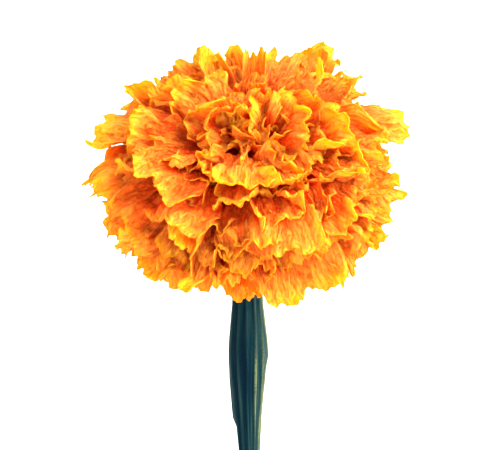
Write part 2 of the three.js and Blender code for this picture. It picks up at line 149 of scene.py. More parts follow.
def add(tree, kind, settings=None, stops=(), **links):
    """Add a shader node. settings sets its properties, and stops are a colour ramp's positions and
    colours. Each link is a socket's name, with _ for a space, or _ and its number where names
    repeat, and either a plain value or another node's output."""
    node = tree.nodes.new(kind)
    for key, value in (settings or {}).items():
        setattr(node, key, value)
    for _ in stops[2:]:
        node.color_ramp.elements.new(0.5)
    for k, (position, value) in enumerate(stops):
        node.color_ramp.elements[k].position = position
        node.color_ramp.elements[k].color = value
    for key, value in links.items():
        label = key.replace("_", " ")
        socket = node.inputs[int(key[1:])] if key[1:].isdigit() else node.inputs[label]
        if isinstance(value, bpy.types.NodeSocket):
            tree.links.new(value, socket)
        else:
            socket.default_value = value
    return node


def new_material(name):
    """An empty material and its node tree."""
    material = bpy.data.materials.new(name)
    material.use_nodes = True
    material.node_tree.nodes.clear()
    return material, material.node_tree


def scale_for(piece, pattern):
    """How often a pattern repeats over a piece's UV map, from both sizes in mm, across and along:
    the piece's size divided by the pattern's."""
    return (piece[0] / pattern[0], piece[1] / pattern[1], 1.0)


# %% [markdown]
# ## No two florets alike
#
# Real florets differ in width, lean and folds, as growth had it. Random numbers could do this, but
# here each measure is drawn from the floret's number and the feature's own number alone. So a new
# feature leaves all others as they were, and the solid model, which draws the same way, has the
# same florets.

# %% Draws and an easing
SEED = 4


def draw(i, k):
    """A repeatable draw from 0 to 1 for number i's feature k: the fraction of a large sine."""
    wild = np.sin(i * 12.9898 + k * 78.233 + SEED) * 43758.5453
    return wild - np.floor(wild)


def swing(i, k):
    """The same draw, from -1 to 1."""
    return 2 * draw(i, k) - 1


def about(measure, i, k):
    """A measure's middle value, plus its spread times the swing."""
    middle, spread = measure
    return middle + spread * swing(i, k)


def smoothstep(x, low, high):
    """0 below low, 1 above high, and an S-shaped cubic between them."""
    t = np.clip((x - low) / (high - low), 0, 1)
    return t * t * (3 - 2 * t)


print("Feature 7 of florets 0 to 4:", draw(np.arange(5), 7).round(2))

# %% [markdown]
# ## How the bloom lies
#
# A picked flower lies on its side, so the bloom looks up at a slant. Its florets could be worked
# out where they lie, but they are simpler round the bloom's own axis. So they are made in the
# head's frame, which has the receptacle that they grow on at its origin and its Z axis out of the
# bloom's face, and then turned and moved as one. What would be below the floor is pressed flat.

# %% The head's frame
BLOOM_RADIUS = 45.0  # mm, as every size here
BLOOM_HALF_HEIGHT = 25.0
BLOOM_MIDDLE = 5.0  # height of the ball's middle above the receptacle
FACE_TILT = math.radians(45)  # how far the face looks up from the horizontal
RECEPTACLE_Y = 30.5
PRESSED = 2.5  # how far the floor presses the lowest florets in
PRESS_EASE = 1.6

SIN_TILT, COS_TILT = math.sin(FACE_TILT), math.cos(FACE_TILT)
HEAD_AXES = np.array([[1, 0, 0], [0, SIN_TILT, -COS_TILT], [0, COS_TILT, SIN_TILT]])
BALL = np.array([BLOOM_RADIUS, BLOOM_RADIUS, BLOOM_HALF_HEIGHT])
BALL_MIDDLE = np.array([0, 0, BLOOM_MIDDLE])
ball_reach = math.hypot(BLOOM_HALF_HEIGHT * SIN_TILT, BLOOM_RADIUS * COS_TILT)
HEAD_AT = np.array([0, RECEPTACLE_Y, ball_reach - PRESSED - BLOOM_MIDDLE * SIN_TILT])
print("The receptacle is at", HEAD_AT.round(2), "mm")


# %% In and out of the head's frame
def to_world(points):
    """Points of the head's frame, turned by its axes and moved to its place."""
    return points @ HEAD_AXES + HEAD_AT


def to_head(points):
    """The other way round."""
    return (points - HEAD_AT) @ HEAD_AXES.T


def pressed_up(points):
    """Points kept above the floor: near it, the height becomes ease * log(1 + exp(z / ease))."""
    z = points[..., 2] / PRESS_EASE
    lifted = points.copy()
    lifted[..., 2] = PRESS_EASE * np.logaddexp(0, z)
    return lifted


def on_circle(radius, height, turn):
    """The points at a radius and a height, a turn round the axis."""
    radius, height, turn = np.broadcast_arrays(radius, height, turn)
    return np.stack([radius * np.cos(turn), radius * np.sin(turn), height], axis=-1)


# %% [markdown]
# ## The florets that show best
#
# The florets' tips lie on a flattened ball with a dip at its crown. A rule alone would give some
# marigold, but not this one. So the florets that show best, round the outline and over the face,
# are set where the photograph has them. Each is given by a pixel, because that can be read off
# the photograph, and its tip lies where the line of sight through that pixel meets the ball.

# %% From a pixel to the ball
PIXELS_PER_MM = 3.47  # at the height of the ball's middle
BLOOM_PIXEL = (248, 172)  # over the ball's middle
PICTURE_MIDDLE = (245, 225)
CAMERA_DISTANCE = 505.0  # above the ball's middle


def over_pixel(pixel, reach):
    """Where the line of sight through a pixel first meets the ball, grown by reach: the turn round
    the axis, the polar angle and the share of the ball's radius. A line that misses the ball gives
    the point where it passes closest."""

    def in_ball(at, height):
        step = np.array([at[0] - BLOOM_PIXEL[0], BLOOM_PIXEL[1] - at[1], 0]) / PIXELS_PER_MM
        point = to_world(BALL_MIDDLE) + step + [0, 0, height]
        return (to_head(point) - BALL_MIDDLE) / BALL

    start = in_ball(PICTURE_MIDDLE, CAMERA_DISTANCE)
    way = in_ball(pixel, 0) - start
    way /= np.linalg.norm(way)
    closest = -start @ way
    aside = np.linalg.norm(start + closest * way)
    half = math.sqrt(max(0.0, reach**2 - aside**2))
    met = start + (closest - half) * way
    length = np.linalg.norm(met)
    return math.atan2(met[1], met[0]), math.acos(met[2] / length), length


seen_polar = over_pixel(BLOOM_PIXEL, 1.0)[1]
print("The photograph looks on the ball at", round(math.degrees(seen_polar)), "degrees from it")

# %% Florets by the photograph
# Each has the pixel over the middle of its edge and half its width in mm. Where it differs from
# the rule, it also has its reach as a share of the ball's radius, its droop in degrees, its share
# of the usual ruffle, the crown's dip at it in mm, its roll in radians, its point, which is how
# much its edge falls back at its sides as a share of its length, and its tone, which is how much
# further up the petals' colours it is. A listed tone is painted light: below 0 it is painted shade
# on a floret that lies in shade, above 0 a painted highlight on one that catches the light.
SHOWN_FLORETS = [
    # Round the outline, from the top, clockwise.
    dict(pixel=(251, 54), half=6, ruffle=1.2),
    dict(pixel=(281, 50), half=6),
    dict(pixel=(299, 49), half=6),
    dict(pixel=(327, 43), half=8, droop=-10, ruffle=0.3, roll=0),
    dict(pixel=(365, 80), half=6, droop=-10, ruffle=0.4, point=0.15, roll=0),
    dict(pixel=(413, 118), half=8.5, droop=-10, ruffle=0.35, roll=0),
    dict(pixel=(389, 162), half=7),
    dict(pixel=(401, 182), half=6),
    dict(pixel=(399, 213), half=8, roll=0.2),
    dict(pixel=(385, 241), half=6, ruffle=0.6),
    dict(pixel=(373, 257), half=7, ruffle=0.6),
    dict(pixel=(327, 299), half=8, ruffle=0.7),
    dict(pixel=(286, 309), half=7.5, ruffle=0.6),
    dict(pixel=(245, 302), half=6),
    dict(pixel=(200, 288), half=6),
    dict(pixel=(182, 291), half=8, ruffle=0.6, roll=0.2),
    dict(pixel=(146, 277), half=8),
    dict(pixel=(117, 251), half=7),
    dict(pixel=(98, 205), half=8),
    dict(pixel=(87, 188), half=5, droop=-10),
    dict(pixel=(95, 128), half=11, droop=-15, ruffle=0.6),
    dict(pixel=(116, 93), half=5, droop=-20, ruffle=0.4, point=0.1, roll=0),
    dict(pixel=(153, 84), half=5),
    dict(pixel=(171, 60), half=7),
    dict(pixel=(193, 50), half=5),
    dict(pixel=(212, 56), half=5, ruffle=1.3),
    dict(pixel=(232, 52), half=4.5, ruffle=1.2),
    # Over the face, from the left.
    # The tones below are painted light: painted shade where below 0, a painted highlight where above
    # 0.
    dict(pixel=(150, 196), half=11, ruffle=0.4, droop=35, tone_and_painted_light=-0.1),
    dict(pixel=(170, 232), half=10, ruffle=0.5, droop=30, tone_and_painted_light=-0.1),
    dict(pixel=(176, 252), half=7),
    dict(pixel=(208, 183), half=6, reach=1.02),
    dict(pixel=(243, 190), half=8, reach=1.12, ruffle=0.5, droop=50, roll=0, tone_and_painted_light=0.04),
    dict(pixel=(236, 217), half=6.5, reach=1.02, tone_and_painted_light=-0.05),
    dict(pixel=(249, 252), half=9, ruffle=0.7, tone_and_painted_light=-0.05),
    dict(pixel=(282, 260), half=11, ruffle=0.5, droop=25, tone_and_painted_light=-0.08),
    dict(pixel=(282, 230), half=8, reach=1.02, tone_and_painted_light=-0.06),
    dict(pixel=(297, 187), half=8, reach=1.03, tone_and_painted_light=-0.05),
    dict(pixel=(316, 215), half=8, tone_and_painted_light=-0.06),
    dict(pixel=(340, 241), half=9, ruffle=0.7, tone_and_painted_light=-0.04),
    dict(pixel=(368, 176), half=8),
    dict(pixel=(314, 134), half=7, droop=15, ruffle=0.7),
    dict(pixel=(302, 104), half=8),
    dict(pixel=(312, 164), half=7, droop=15, ruffle=0.7),
    dict(pixel=(260, 146), half=7, dip=3),
    dict(pixel=(221, 156), half=7, dip=1),
    dict(pixel=(245, 115), half=6, dip=3),
    # One more at the outline's lower right.
    dict(pixel=(349, 281), half=5),
]
# Smaller ones at the outline, for which the solid model has no room.
SMALL_FLORETS = [
    dict(pixel=(257, 55), half=4, ruffle=0.4, roll=0),
    dict(pixel=(344, 70), half=4, ruffle=0.5, roll=0),
    dict(pixel=(365, 90), half=4, ruffle=0.4, roll=0),
    dict(pixel=(376, 251), half=4, ruffle=0.5, roll=0),
    dict(pixel=(222, 293), half=4, ruffle=0.6, roll=0),
    dict(pixel=(169, 63), half=4, ruffle=0.6, roll=0),
]
print(len(SHOWN_FLORETS), "florets by the photograph, and", len(SMALL_FLORETS), "small ones")

# %% [markdown]
# ## One table of every floret's measures
#
# The youngest florets, at the crown, are narrow and stand up. The oldest, down the back, are wide
# and lie back. Each could be an object with its own settings. Here each measure is one array with
# a number for every floret, because later steps can then work out all florets in one go.

# %% How florets age and lie
# Angles are in radians, except how a floret's edge lies, which is in degrees from straight out of
# the ball. A pair is a measure's middle value and how far its draw takes it either way.
OLDEST_POLAR = math.radians(150)  # how far down the back the oldest florets' tips lie
AGEING = 1.4  # the power of the polar angle with which they age
GROWN_UP = 0.3  # the age at which they are as wide as the oldest
CROWN_DIP = 4.0
CROWN_DIP_RADIUS = 9.0
CROWN_SPREAD = 0.6
LIE = -8.0
SIDE_LIE = 30.0  # more on the ball's sides
CROWN_LIE = 38.0  # more at its crown
LIE_SWING = 24.0
YOUNG_HALF_WIDTH = 6.5
OLD_HALF_WIDTH = 11.0
WIDTH_SHARE = (1, 0.18)
ROOT_RADIUS = 8.0
ROOT_HEIGHT = 5.5
LEAVE_SHARE = 0.55  # a floret leaves its root at this share of its tip's polar angle
SWAY = 0.16  # round the axis, between its root and its tip
ROLL = 0.6  # about its own line
CROWN_ROLL = 0.5  # more at the crown
RUFFLE = (1.2, 0.3)
WAVES = (1.2, 0.35)  # half waves across each half of it
CHANNEL = (0.4, 0.7)  # slope with which its sides rise
TONE_SWING = 0.05

# What a floret has where its own entry says nothing. NaN stands for the rule's value.
USUAL = dict(half=np.nan, droop=0.0, ruffle=1.0, dip=np.nan, point=0.0, roll=np.nan, tone_and_painted_light=np.nan)


# %% The table
def own_or_rule(own, rule):
    """A floret's own value, or the rule's where its own is NaN."""
    return np.where(np.isnan(own), rule, own)


def floret_shapes(i, around, polar, reach, **own):
    """A dictionary of arrays, one number for each floret. Its age is the share of OLDEST_POLAR to
    the power AGEING, its tip lies at reach on the ball less the crown's dip, and its edge lies at
    LIE + SIDE_LIE * sin(polar) + CROWN_LIE * crown, where crown falls off as a bell curve."""
    own = {**USUAL, **own}
    age = (polar / OLDEST_POLAR) ** AGEING
    crown = np.exp(-((polar / CROWN_SPREAD) ** 2))
    tip_radius = BLOOM_RADIUS * np.sin(polar) * reach
    rule_dip = CROWN_DIP * np.exp(-((tip_radius / CROWN_DIP_RADIUS) ** 2))
    tip_height = BLOOM_MIDDLE + BLOOM_HALF_HEIGHT * np.cos(polar) * reach
    tip_height = tip_height - own_or_rule(own["dip"], rule_dip)
    wider = (OLD_HALF_WIDTH - YOUNG_HALF_WIDTH) * smoothstep(age, 0, GROWN_UP)
    rule_half = (YOUNG_HALF_WIDTH + wider) * about(WIDTH_SHARE, i, 7)
    lie = LIE + SIDE_LIE * np.sin(polar) + CROWN_LIE * crown + LIE_SWING * swing(i, 4)
    return dict(
        number=i,
        around=around,
        polar=polar,
        root=np.stack([ROOT_RADIUS * np.sqrt(age), np.full_like(age, ROOT_HEIGHT)], axis=-1),
        tip=np.stack([tip_radius, tip_height], axis=-1),
        start_polar=LEAVE_SHARE * polar,
        end_polar=polar + np.radians(lie + own["droop"]),
        sway=SWAY * swing(i, 5),
        roll=own_or_rule(own["roll"], (ROLL + CROWN_ROLL * crown) * swing(i, 6)),
        half_width=own_or_rule(own["half"], rule_half),
        ruffle=own["ruffle"] * about(RUFFLE, i, 8),
        waves=about(WAVES, i, 9),
        phase=TAU * draw(i, 10),
        second_phase=TAU * draw(i, 11),
        channel=about(CHANNEL, i, 12),
        lobes=TAU * draw(i, 13),
        point=np.broadcast_to(own["point"], polar.shape),
        # A listed tone is painted light and shade; the rule's tone is a random spread of colour.
        tone_and_painted_light=own_or_rule(own["tone_and_painted_light"], TONE_SWING * swing(i, 14)),
    )


def tips_of(shapes):
    """The florets' tips as points of the head's frame."""
    return on_circle(shapes["tip"][:, 0], shapes["tip"][:, 1], shapes["around"])


# %% The measures of the listed florets
# Each kind of floret has its own first number, so that no two florets share a draw.
RULE_FIRST, FILLING_FIRST, SHOWN_FIRST, SMALL_FIRST = 0.0, 500.0, 1000.0, 2000.0


def listed_florets(listed, first):
    """The florets of a list as shapes. first is the number that its first one draws with."""
    i = first + np.arange(len(listed))
    places = [over_pixel(entry["pixel"], entry.get("reach", 1.0)) for entry in listed]
    around, polar, reach = np.array(places).T
    own = {
        key: np.array([entry.get(key, usual) for entry in listed], dtype=float)
        for key, usual in USUAL.items()
    }
    return floret_shapes(i, around, polar, reach, **own)


shown = listed_florets(SHOWN_FLORETS, SHOWN_FIRST)
small = listed_florets(SMALL_FLORETS, SMALL_FIRST)
print("Half widths by the photograph:", shown["half_width"].min(), "to", shown["half_width"].max())

# %% [markdown]
# ## The rest, as they grow
#
# On a real head, each floret grows a golden angle further round than the one before, which packs
# them evenly. They could be scattered at random, but then some would sit on each other and leave
# holes. The golden angle fills the ball as growth does. Its florets that would stand too close to
# one that the photograph sets are left out.

# %% By the golden angle
GOLDEN_ANGLE = math.pi * (3 - math.sqrt(5))
CROWDING = 0.75  # the power of a floret's share with which its polar angle grows
RULE_FLORETS = 74
NO_FLORET = (27, 32, 36, 42, 55, 62)  # steps of the rule at which none grew
RULE_REACH = (1, 0.05)
RULE_TURN_SWING = 0.1
ROOM = 9.5  # between a tip and the next one's
CROWN_ROOM = 4.0
ROOM_RADIUS = 20  # where the crown's room ends


def spiral(first, count, turn_swing):
    """Numbers, turns and polar angles of count florets, each a golden angle after the one before:
    the polar angle is OLDEST_POLAR times the share of the florets so far, to the power CROWDING."""
    i = first + np.arange(count)
    share = (np.arange(count) + 0.5) / count
    return i, i * GOLDEN_ANGLE + turn_swing * swing(i, 1), OLDEST_POLAR * share**CROWDING


def room_at(radius, crown_room, room):
    """The room that a tip needs at a radius from the axis: an easing from crown_room to room."""
    return crown_room + (room - crown_room) * smoothstep(radius, 0, ROOM_RADIUS)


def grown_florets(taken):
    """The rule's florets, less those too close to a tip in taken."""
    i, around, polar = spiral(RULE_FIRST, RULE_FLORETS, RULE_TURN_SWING)
    grown = floret_shapes(i, around, polar, about(RULE_REACH, i, 3))
    gap = np.linalg.norm(tips_of(grown)[:, None] - taken[None], axis=-1).min(axis=1)
    kept = (gap > room_at(grown["tip"][:, 0], CROWN_ROOM, ROOM)) & ~np.isin(i, NO_FLORET)
    return {key: values[kept] for key, values in grown.items()}


grown = grown_florets(tips_of(shown))
print(len(grown["number"]), "florets by the rule")

# %% [markdown]
# ## Smaller florets between them
#
# Between the large florets of a real head, the tips of smaller ones show. The solid model has no
# room for them. Here a denser spiral puts one wherever there is space, a little inside the ball.
# They would also fill the dark gaps that give the head its depth, so the gaps that the photograph
# shows are kept free of them.

# %% Dark gaps
# Each runs from one pixel of the photograph to another.
GAPS = np.array([
    ((192, 141), (130, 147)),
    ((162, 205), (172, 240)),
    ((305, 160), (335, 195)),
    ((238, 124), (247, 130)),
    ((262, 115), (290, 100)),
    ((260, 285), (262, 310)),
], dtype=float)
GAP_HALF_WIDTH = 8.0  # pixels


def in_gap(tips):
    """Whether each point of the head's frame lies over a gap, as the camera sees it: nearer than
    GAP_HALF_WIDTH to the gap's line, on the near side of the ball."""
    point = to_world(tips) - to_world(BALL_MIDDLE)
    seen = np.array(BLOOM_PIXEL) - PICTURE_MIDDLE + point[:, :2] * PIXELS_PER_MM * (1, -1)
    seen = seen * (CAMERA_DISTANCE / (CAMERA_DISTANCE - point[:, 2:])) + PICTURE_MIDDLE
    start, way = GAPS[:, 0], GAPS[:, 1] - GAPS[:, 0]
    from_start = seen[:, None] - start
    share = np.clip((from_start * way).sum(-1) / (way**2).sum(-1), 0, 1)[..., None]
    away = np.linalg.norm(from_start - share * way, axis=-1).min(axis=-1)
    return (away < GAP_HALF_WIDTH) & (point[:, 2] > 0)


# %% Filling
FILLING_TRIED = 400
FILLING_TURN_SWING = 0.3
FILLING_HALF_WIDTH = (7, 1.5)
FILLING_REACH = (0.89, 0.04)
FILLING_ROOM = 5.4
CROWN_FILLING_ROOM = 4.2


def filling_florets(taken):
    """The denser spiral's florets that have room among the tips in taken and each other's, and
    don't lie in a gap."""
    i, around, polar = spiral(FILLING_FIRST, FILLING_TRIED, FILLING_TURN_SWING)
    half = about(FILLING_HALF_WIDTH, i, 7)
    filling = floret_shapes(i, around, polar, about(FILLING_REACH, i, 3), half=half)
    tips = tips_of(filling)
    room = room_at(filling["tip"][:, 0], CROWN_FILLING_ROOM, FILLING_ROOM)
    kept = []
    for k in np.flatnonzero(~in_gap(tips)):
        others = np.concatenate([taken, tips[kept]])
        if np.linalg.norm(others - tips[k], axis=-1).min() > room[k]:
            kept.append(k)
    return {key: values[kept] for key, values in filling.items()}


filling = filling_florets(np.concatenate([tips_of(shown), tips_of(grown)]))
kinds = [shown, grown, filling, small]
florets = {key: np.concatenate([kind[key] for kind in kinds]) for key in shown}
print(len(filling["number"]), "florets between them, and", len(florets["number"]), "in all")

# %% [markdown]
# ## The florets' surfaces
#
# A marigold floret is a narrow claw that widens into a thin, crumpled limb. Its edge grew faster
# than its middle, so it had to fold. A folded sheet could be made with cloth simulation, but the
# folds can also be written down: across the floret, only the slope of the sheet is given, as a sum
# of waves that grow towards the edge, and adding up the slopes gives a surface that keeps its
# width, as a real petal does. All florets are worked out together, in arrays of florets, rows
# along and columns across.

# %% The line that a floret grows along
LEAVE_PULL = 0.45  # how stiffly it leaves its root, as a share of its span
ARRIVE_PULL = 0.38  # the same, at its tip


def bezier(points, t):
    """A cubic curve's place and direction at t. points holds four arrays of one point a floret."""
    p0, p1, p2, p3 = (p[:, None, None, :] for p in points)
    t = t[..., None]
    s = 1 - t
    place = s**3 * p0 + 3 * s * s * t * p1 + 3 * s * t * t * p2 + t**3 * p3
    way = 3 * (s * s * (p1 - p0) + 2 * s * t * (p2 - p1) + t * t * (p3 - p2))
    return place, way / np.linalg.norm(way, axis=-1, keepdims=True)


def centre_lines(f):
    """Each floret's line: it leaves the receptacle in one direction and arrives at its tip in
    another, and both lie in a plane through the axis."""
    root_turn = f["around"] - f["sway"]
    root = on_circle(f["root"][:, 0], f["root"][:, 1], root_turn)
    tip = tips_of(f)
    span = np.linalg.norm(tip - root, axis=-1, keepdims=True)
    leave = on_circle(np.sin(f["start_polar"]), np.cos(f["start_polar"]), root_turn)
    arrive = on_circle(np.sin(f["end_polar"]), np.cos(f["end_polar"]), f["around"])
    return root, root + LEAVE_PULL * span * leave, tip - ARRIVE_PULL * span * arrive, tip


# %% Sums of slopes
def summed_from_middle(values, step):
    """The running sum of values at the columns, times the step, that is 0 at the middle column."""
    between = (values[..., 1:] + values[..., :-1]) / 2 * step
    total = np.concatenate([np.zeros_like(values[..., :1]), np.cumsum(between, axis=-1)], axis=-1)
    return total - total[..., total.shape[-1] // 2 : total.shape[-1] // 2 + 1]


def summed_along(values, u):
    """The running sum of values down the rows, that is 0 at the first row."""
    step = np.diff(u, axis=1)
    between = (values[:, 1:] + values[:, :-1]) / 2 * step
    return np.concatenate([np.zeros_like(values[:, :1]), np.cumsum(between, axis=1)], axis=1)


# %% Folds across a floret
# Each kind of fold: its height as a slope, the power with which it grows up the limb, its waves
# for each of the floret's own waves, and how much it follows the wander.
WIDE_FOLD = (0.75, 1.3, 1, 0)
NARROW_FOLD = (0.8, 3, 2.3, 1)
YOUNG_FOLD = (0.85, 2, 4.1, 1)  # the young florets' own
FRAYED_FOLD = (0.5, 8, 5.3, -2)
FINE_FRAYED_FOLD = (0.5, 16, 10.7, 3)
YOUNG_SPREAD = 1.3  # radians from the crown
WANDER = 1.2  # radians
LEAST_FRAY = 0.3


def wander_of(one, u, v):
    """How far the folds stray sideways: WANDER * sin(2.1 * v + 3 * u + a phase)."""
    return WANDER * np.sin(2.1 * v + 3 * u + TAU * draw(one["number"], 25))


def fray_of(one):
    """How frayed a floret's edge is: its draw, and less where it is hardly ruffled."""
    share = LEAST_FRAY + (1 - LEAST_FRAY) * draw(one["number"], 29)
    return share * np.minimum(one["ruffle"], 1)


def slopes_across(one, limb, v, wander):
    """The slope of the sheet across each floret, from v = -1 to 1. Each fold adds height * limb **
    power * sin(beats * beat * v + phase + bend * wander), and the channel adds a slope along v."""
    i = one["number"]
    beat = math.pi * one["waves"]
    young = np.exp(-((one["polar"] / YOUNG_SPREAD) ** 2))
    fray = fray_of(one)
    folds = [
        (WIDE_FOLD, one["ruffle"], one["phase"]),
        (NARROW_FOLD, one["ruffle"], one["second_phase"]),
        (YOUNG_FOLD, young, TAU * draw(i, 15)),
        (FRAYED_FOLD, fray, TAU * draw(i, 20)),
        (FINE_FRAYED_FOLD, fray, TAU * draw(i, 27)),
    ]
    slope = 0
    for (height, power, beats, bend), strength, phase in folds:
        swell = height * strength * limb**power
        slope = slope + swell * np.sin(beats * beat * v + phase + bend * wander)
    return slope + one["channel"] * v


# %% A floret's edge
# All as shares of its length.
EDGE_HEIGHT = 0.98
EDGE_ROUNDING = 0.08
EDGE_LOBE = 0.03
NOTCH = 0.018
FRAYED_NOTCH = 0.016
FRINGE = 0.008


def edges_of(one, v, wander):
    """How far out each floret ends: EDGE_HEIGHT, less EDGE_ROUNDING * v ** 4 and its point * |v|,
    plus a wave of lobes and three ever narrower waves of notches."""
    i = one["number"]
    fray = fray_of(one)
    edge = EDGE_HEIGHT - EDGE_ROUNDING * v**4 - one["point"] * np.abs(v)
    edge = edge + EDGE_LOBE * np.sin(4 * v + one["lobes"])
    notch = NOTCH * np.sin(11 * v + TAU * draw(i, 21))
    notch = notch + FRAYED_NOTCH * fray * np.sin(23 * v + TAU * draw(i, 22))
    fringe = FRINGE * fray * np.sin(47 * v + TAU * draw(i, 28) + 2 * wander)
    return edge + notch + fringe


# %% Crumples
# Each has a wavelength and a height in mm. The creases are sharp, and deeper in drier florets.
CRUMPLE = (9.0, 1.1)
CREASES = [(4.6, 0.75), (2.6, 0.45)]
CRUMPLE_WAVES = 4
LEAST_DRY = 0.7
DRY_SPREAD = 0.9


def crumple(place, i, wavelength, height, sharp=0.0):
    """A noise at each point: waves of the point's coordinates, each in a direction and phase drawn
    for the floret. sharp goes from sines, at 0, to zigzags, which crease the sheet, at 1."""
    total = 0
    for k in range(CRUMPLE_WAVES):
        turn, rise = TAU * draw(i, 30 + 3 * k + wavelength), swing(i, 31 + 3 * k + wavelength)
        flat = np.sqrt(1 - rise**2)
        way = np.stack([flat * np.cos(turn), flat * np.sin(turn), rise], axis=-1)
        phase = TAU * draw(i, 32 + 3 * k + wavelength)
        wave = np.sin((place * way).sum(-1) * TAU / wavelength + phase)
        total = total + (1 - sharp) * wave + sharp * np.arcsin(wave) * 2 / math.pi
    return height * total / 2


def crumples_at(surface, i):
    """The offset of each point of a crumpled sheet: a soft crumple, plus the creases times the
    floret's dryness, which is LEAST_DRY + DRY_SPREAD * draw ** 2."""
    dryness = LEAST_DRY + DRY_SPREAD * draw(i, 26) ** 2
    creased = sum(crumple(surface, i, *crease, sharp=1.0) for crease in CREASES)
    return crumple(surface, i, *CRUMPLE) + dryness * creased


# %% Directions and curl
CURL_START = 0.6
CURL_LENGTH = 40.0  # mm
CURL = 0.5  # radians, at its edge
CURL_WAVE = 0.2  # the same, waving across


def directions(one, u, limb, tangent):
    """Where a floret's side and face point: square to its line, and rolled about it on the limb."""
    turn = one["around"] - one["sway"] * (1 - u)
    side = on_circle(1.0, 0.0, turn + math.pi / 2)
    side = side - (side * tangent).sum(-1, keepdims=True) * tangent
    side /= np.linalg.norm(side, axis=-1, keepdims=True)
    face = np.cross(tangent, side)
    roll = (one["roll"] * limb)[..., None]
    return np.cos(roll) * side + np.sin(roll) * face, np.cos(roll) * face - np.sin(roll) * side


def curled(one, u, v):
    """How far the limb's curl lifts each point and takes it back: sums along the floret of the
    curl's sine, and of its cosine less 1. The curl starts at CURL_START and grows to the edge."""
    i = one["number"]
    beat = math.pi * one["waves"]
    at_edge = CURL * swing(i, 23) + CURL_WAVE * np.sin(beat * v + TAU * draw(i, 24))
    curl = smoothstep(u, CURL_START, 1.0) * at_edge
    lift = summed_along(np.sin(curl), u) * CURL_LENGTH
    back = summed_along(np.cos(curl) - 1, u) * CURL_LENGTH
    return lift, back


# %% A floret's middle surface
ROWS = 20
COLUMNS = 41
FIRST_ROW = 0.25  # of the floret's length; what lies below is hidden by the bases
ROW_CROWDING = 0.65  # below 1, the rows stand closer towards the edge
LIMB_START = 0.3  # where the claw ends
FAN_START = 0.2
FAN_END = 0.88
FLARE = 0.35  # how much more a ruffled edge widens
CLAW_HALF_WIDTH = 1.3


def middle_surfaces(f):
    """The florets' middle surfaces as an array of (floret, row, column, xyz), in the head's frame,
    with their u along and v across. Each point is the place on the floret's line, moved across and
    up by the sums of the slopes' cosines and sines, then curled, then crumpled."""
    one = {key: values[:, None, None] for key, values in f.items() if values.ndim == 1}
    u = (FIRST_ROW + (1 - FIRST_ROW) * np.linspace(0, 1, ROWS) ** ROW_CROWDING)[None, :, None]
    v = np.linspace(-1, 1, COLUMNS)[None, None, :]
    limb = np.clip((u - LIMB_START) / (1 - LIMB_START), 0, None)
    wander = wander_of(one, u, v)

    fan = smoothstep(u, FAN_START, FAN_END)
    half_width = CLAW_HALF_WIDTH + (one["half_width"] - CLAW_HALF_WIDTH) * fan
    half_width = half_width * (1 + FLARE * one["ruffle"] * limb**4)
    slope = slopes_across(one, limb, v, wander)
    step = 2 / (COLUMNS - 1)
    across = summed_from_middle(np.cos(slope), step) * half_width
    up = summed_from_middle(np.sin(slope), step) * half_width

    along = np.clip(u * (1 + (edges_of(one, v, wander) - 1) * limb), 0, 1)
    place, tangent = bezier(centre_lines(f), along)
    side, face = directions(one, u, limb, tangent)
    lift, back = curled(one, u, v)
    surface = place + across[..., None] * side + (up + lift)[..., None] * face
    surface = surface + back[..., None] * tangent
    surface = surface + (limb * crumples_at(surface, one["number"]))[..., None] * face
    return surface, np.broadcast_to(u, across.shape), np.broadcast_to(v, across.shape)


# %% Closed blades
BLADE = 0.28  # mm thick
TINY = 1e-9  # keeps a flat spot from dividing by zero


def blades(middle):
    """Each middle surface thickened to a closed blade: half of BLADE along its normal, both ways,
    with a strip of faces round the rim. Returns points and faces."""
    count, rows, columns, _ = middle.shape
    normal = np.cross(np.gradient(middle, axis=1), np.gradient(middle, axis=2))
    normal /= np.linalg.norm(normal, axis=-1, keepdims=True) + TINY
    top = middle + normal * BLADE / 2
    bottom = middle - normal * BLADE / 2
    points = np.stack([top, bottom], axis=1).reshape(-1, 3)

    sheet = rows * columns
    grid = grid_faces(rows, columns)
    outline = np.concatenate([
        np.arange(columns),
        np.arange(1, rows) * columns + columns - 1,
        np.arange(columns - 2, -1, -1) + (rows - 1) * columns,
        np.arange(rows - 2, 0, -1) * columns,
    ])
    following = np.roll(outline, -1)
    rim = np.stack([outline, outline + sheet, following + sheet, following], axis=-1)
    blade = np.concatenate([grid[:, ::-1], grid + sheet, rim])
    faces = blade[None] + np.arange(count)[:, None, None] * 2 * sheet
    return points, faces.reshape(-1, 4)


print("Each floret has", 2 * ROWS * COLUMNS, "points")

# %% [markdown]
# ## The petals' finish
#
# A marigold petal is a thin, matt sheet. It is red-orange at its base, orange over its limb and
# yellow at its edge. Deep in the flower light reaches it only through other petals, and that shade
# is painted into its colour too: a ramp by how far along its floret and how deep in the ball a point
# lies colours all florets, and its deep end is painted shade. The colours could be painted by hand,
# but the ramp does the same for all florets. Its veins, creases and flat facets follow the floret's
# own UV map, so they bend with it, and their colours add painted highlights and painted shade to
# their relief. Part of the light comes through the sheet, so a translucent shader is mixed in.

# %% The petals' patterns
# Sizes in mm, across and along.
FLORET_SIZE = (19.8, 36.0)
VEIN = (1.1, 15.0)
CREASE = (0.9, 1.2)
FACET = (1.32, 4.0)
FACET_BEND = 1.6  # facets


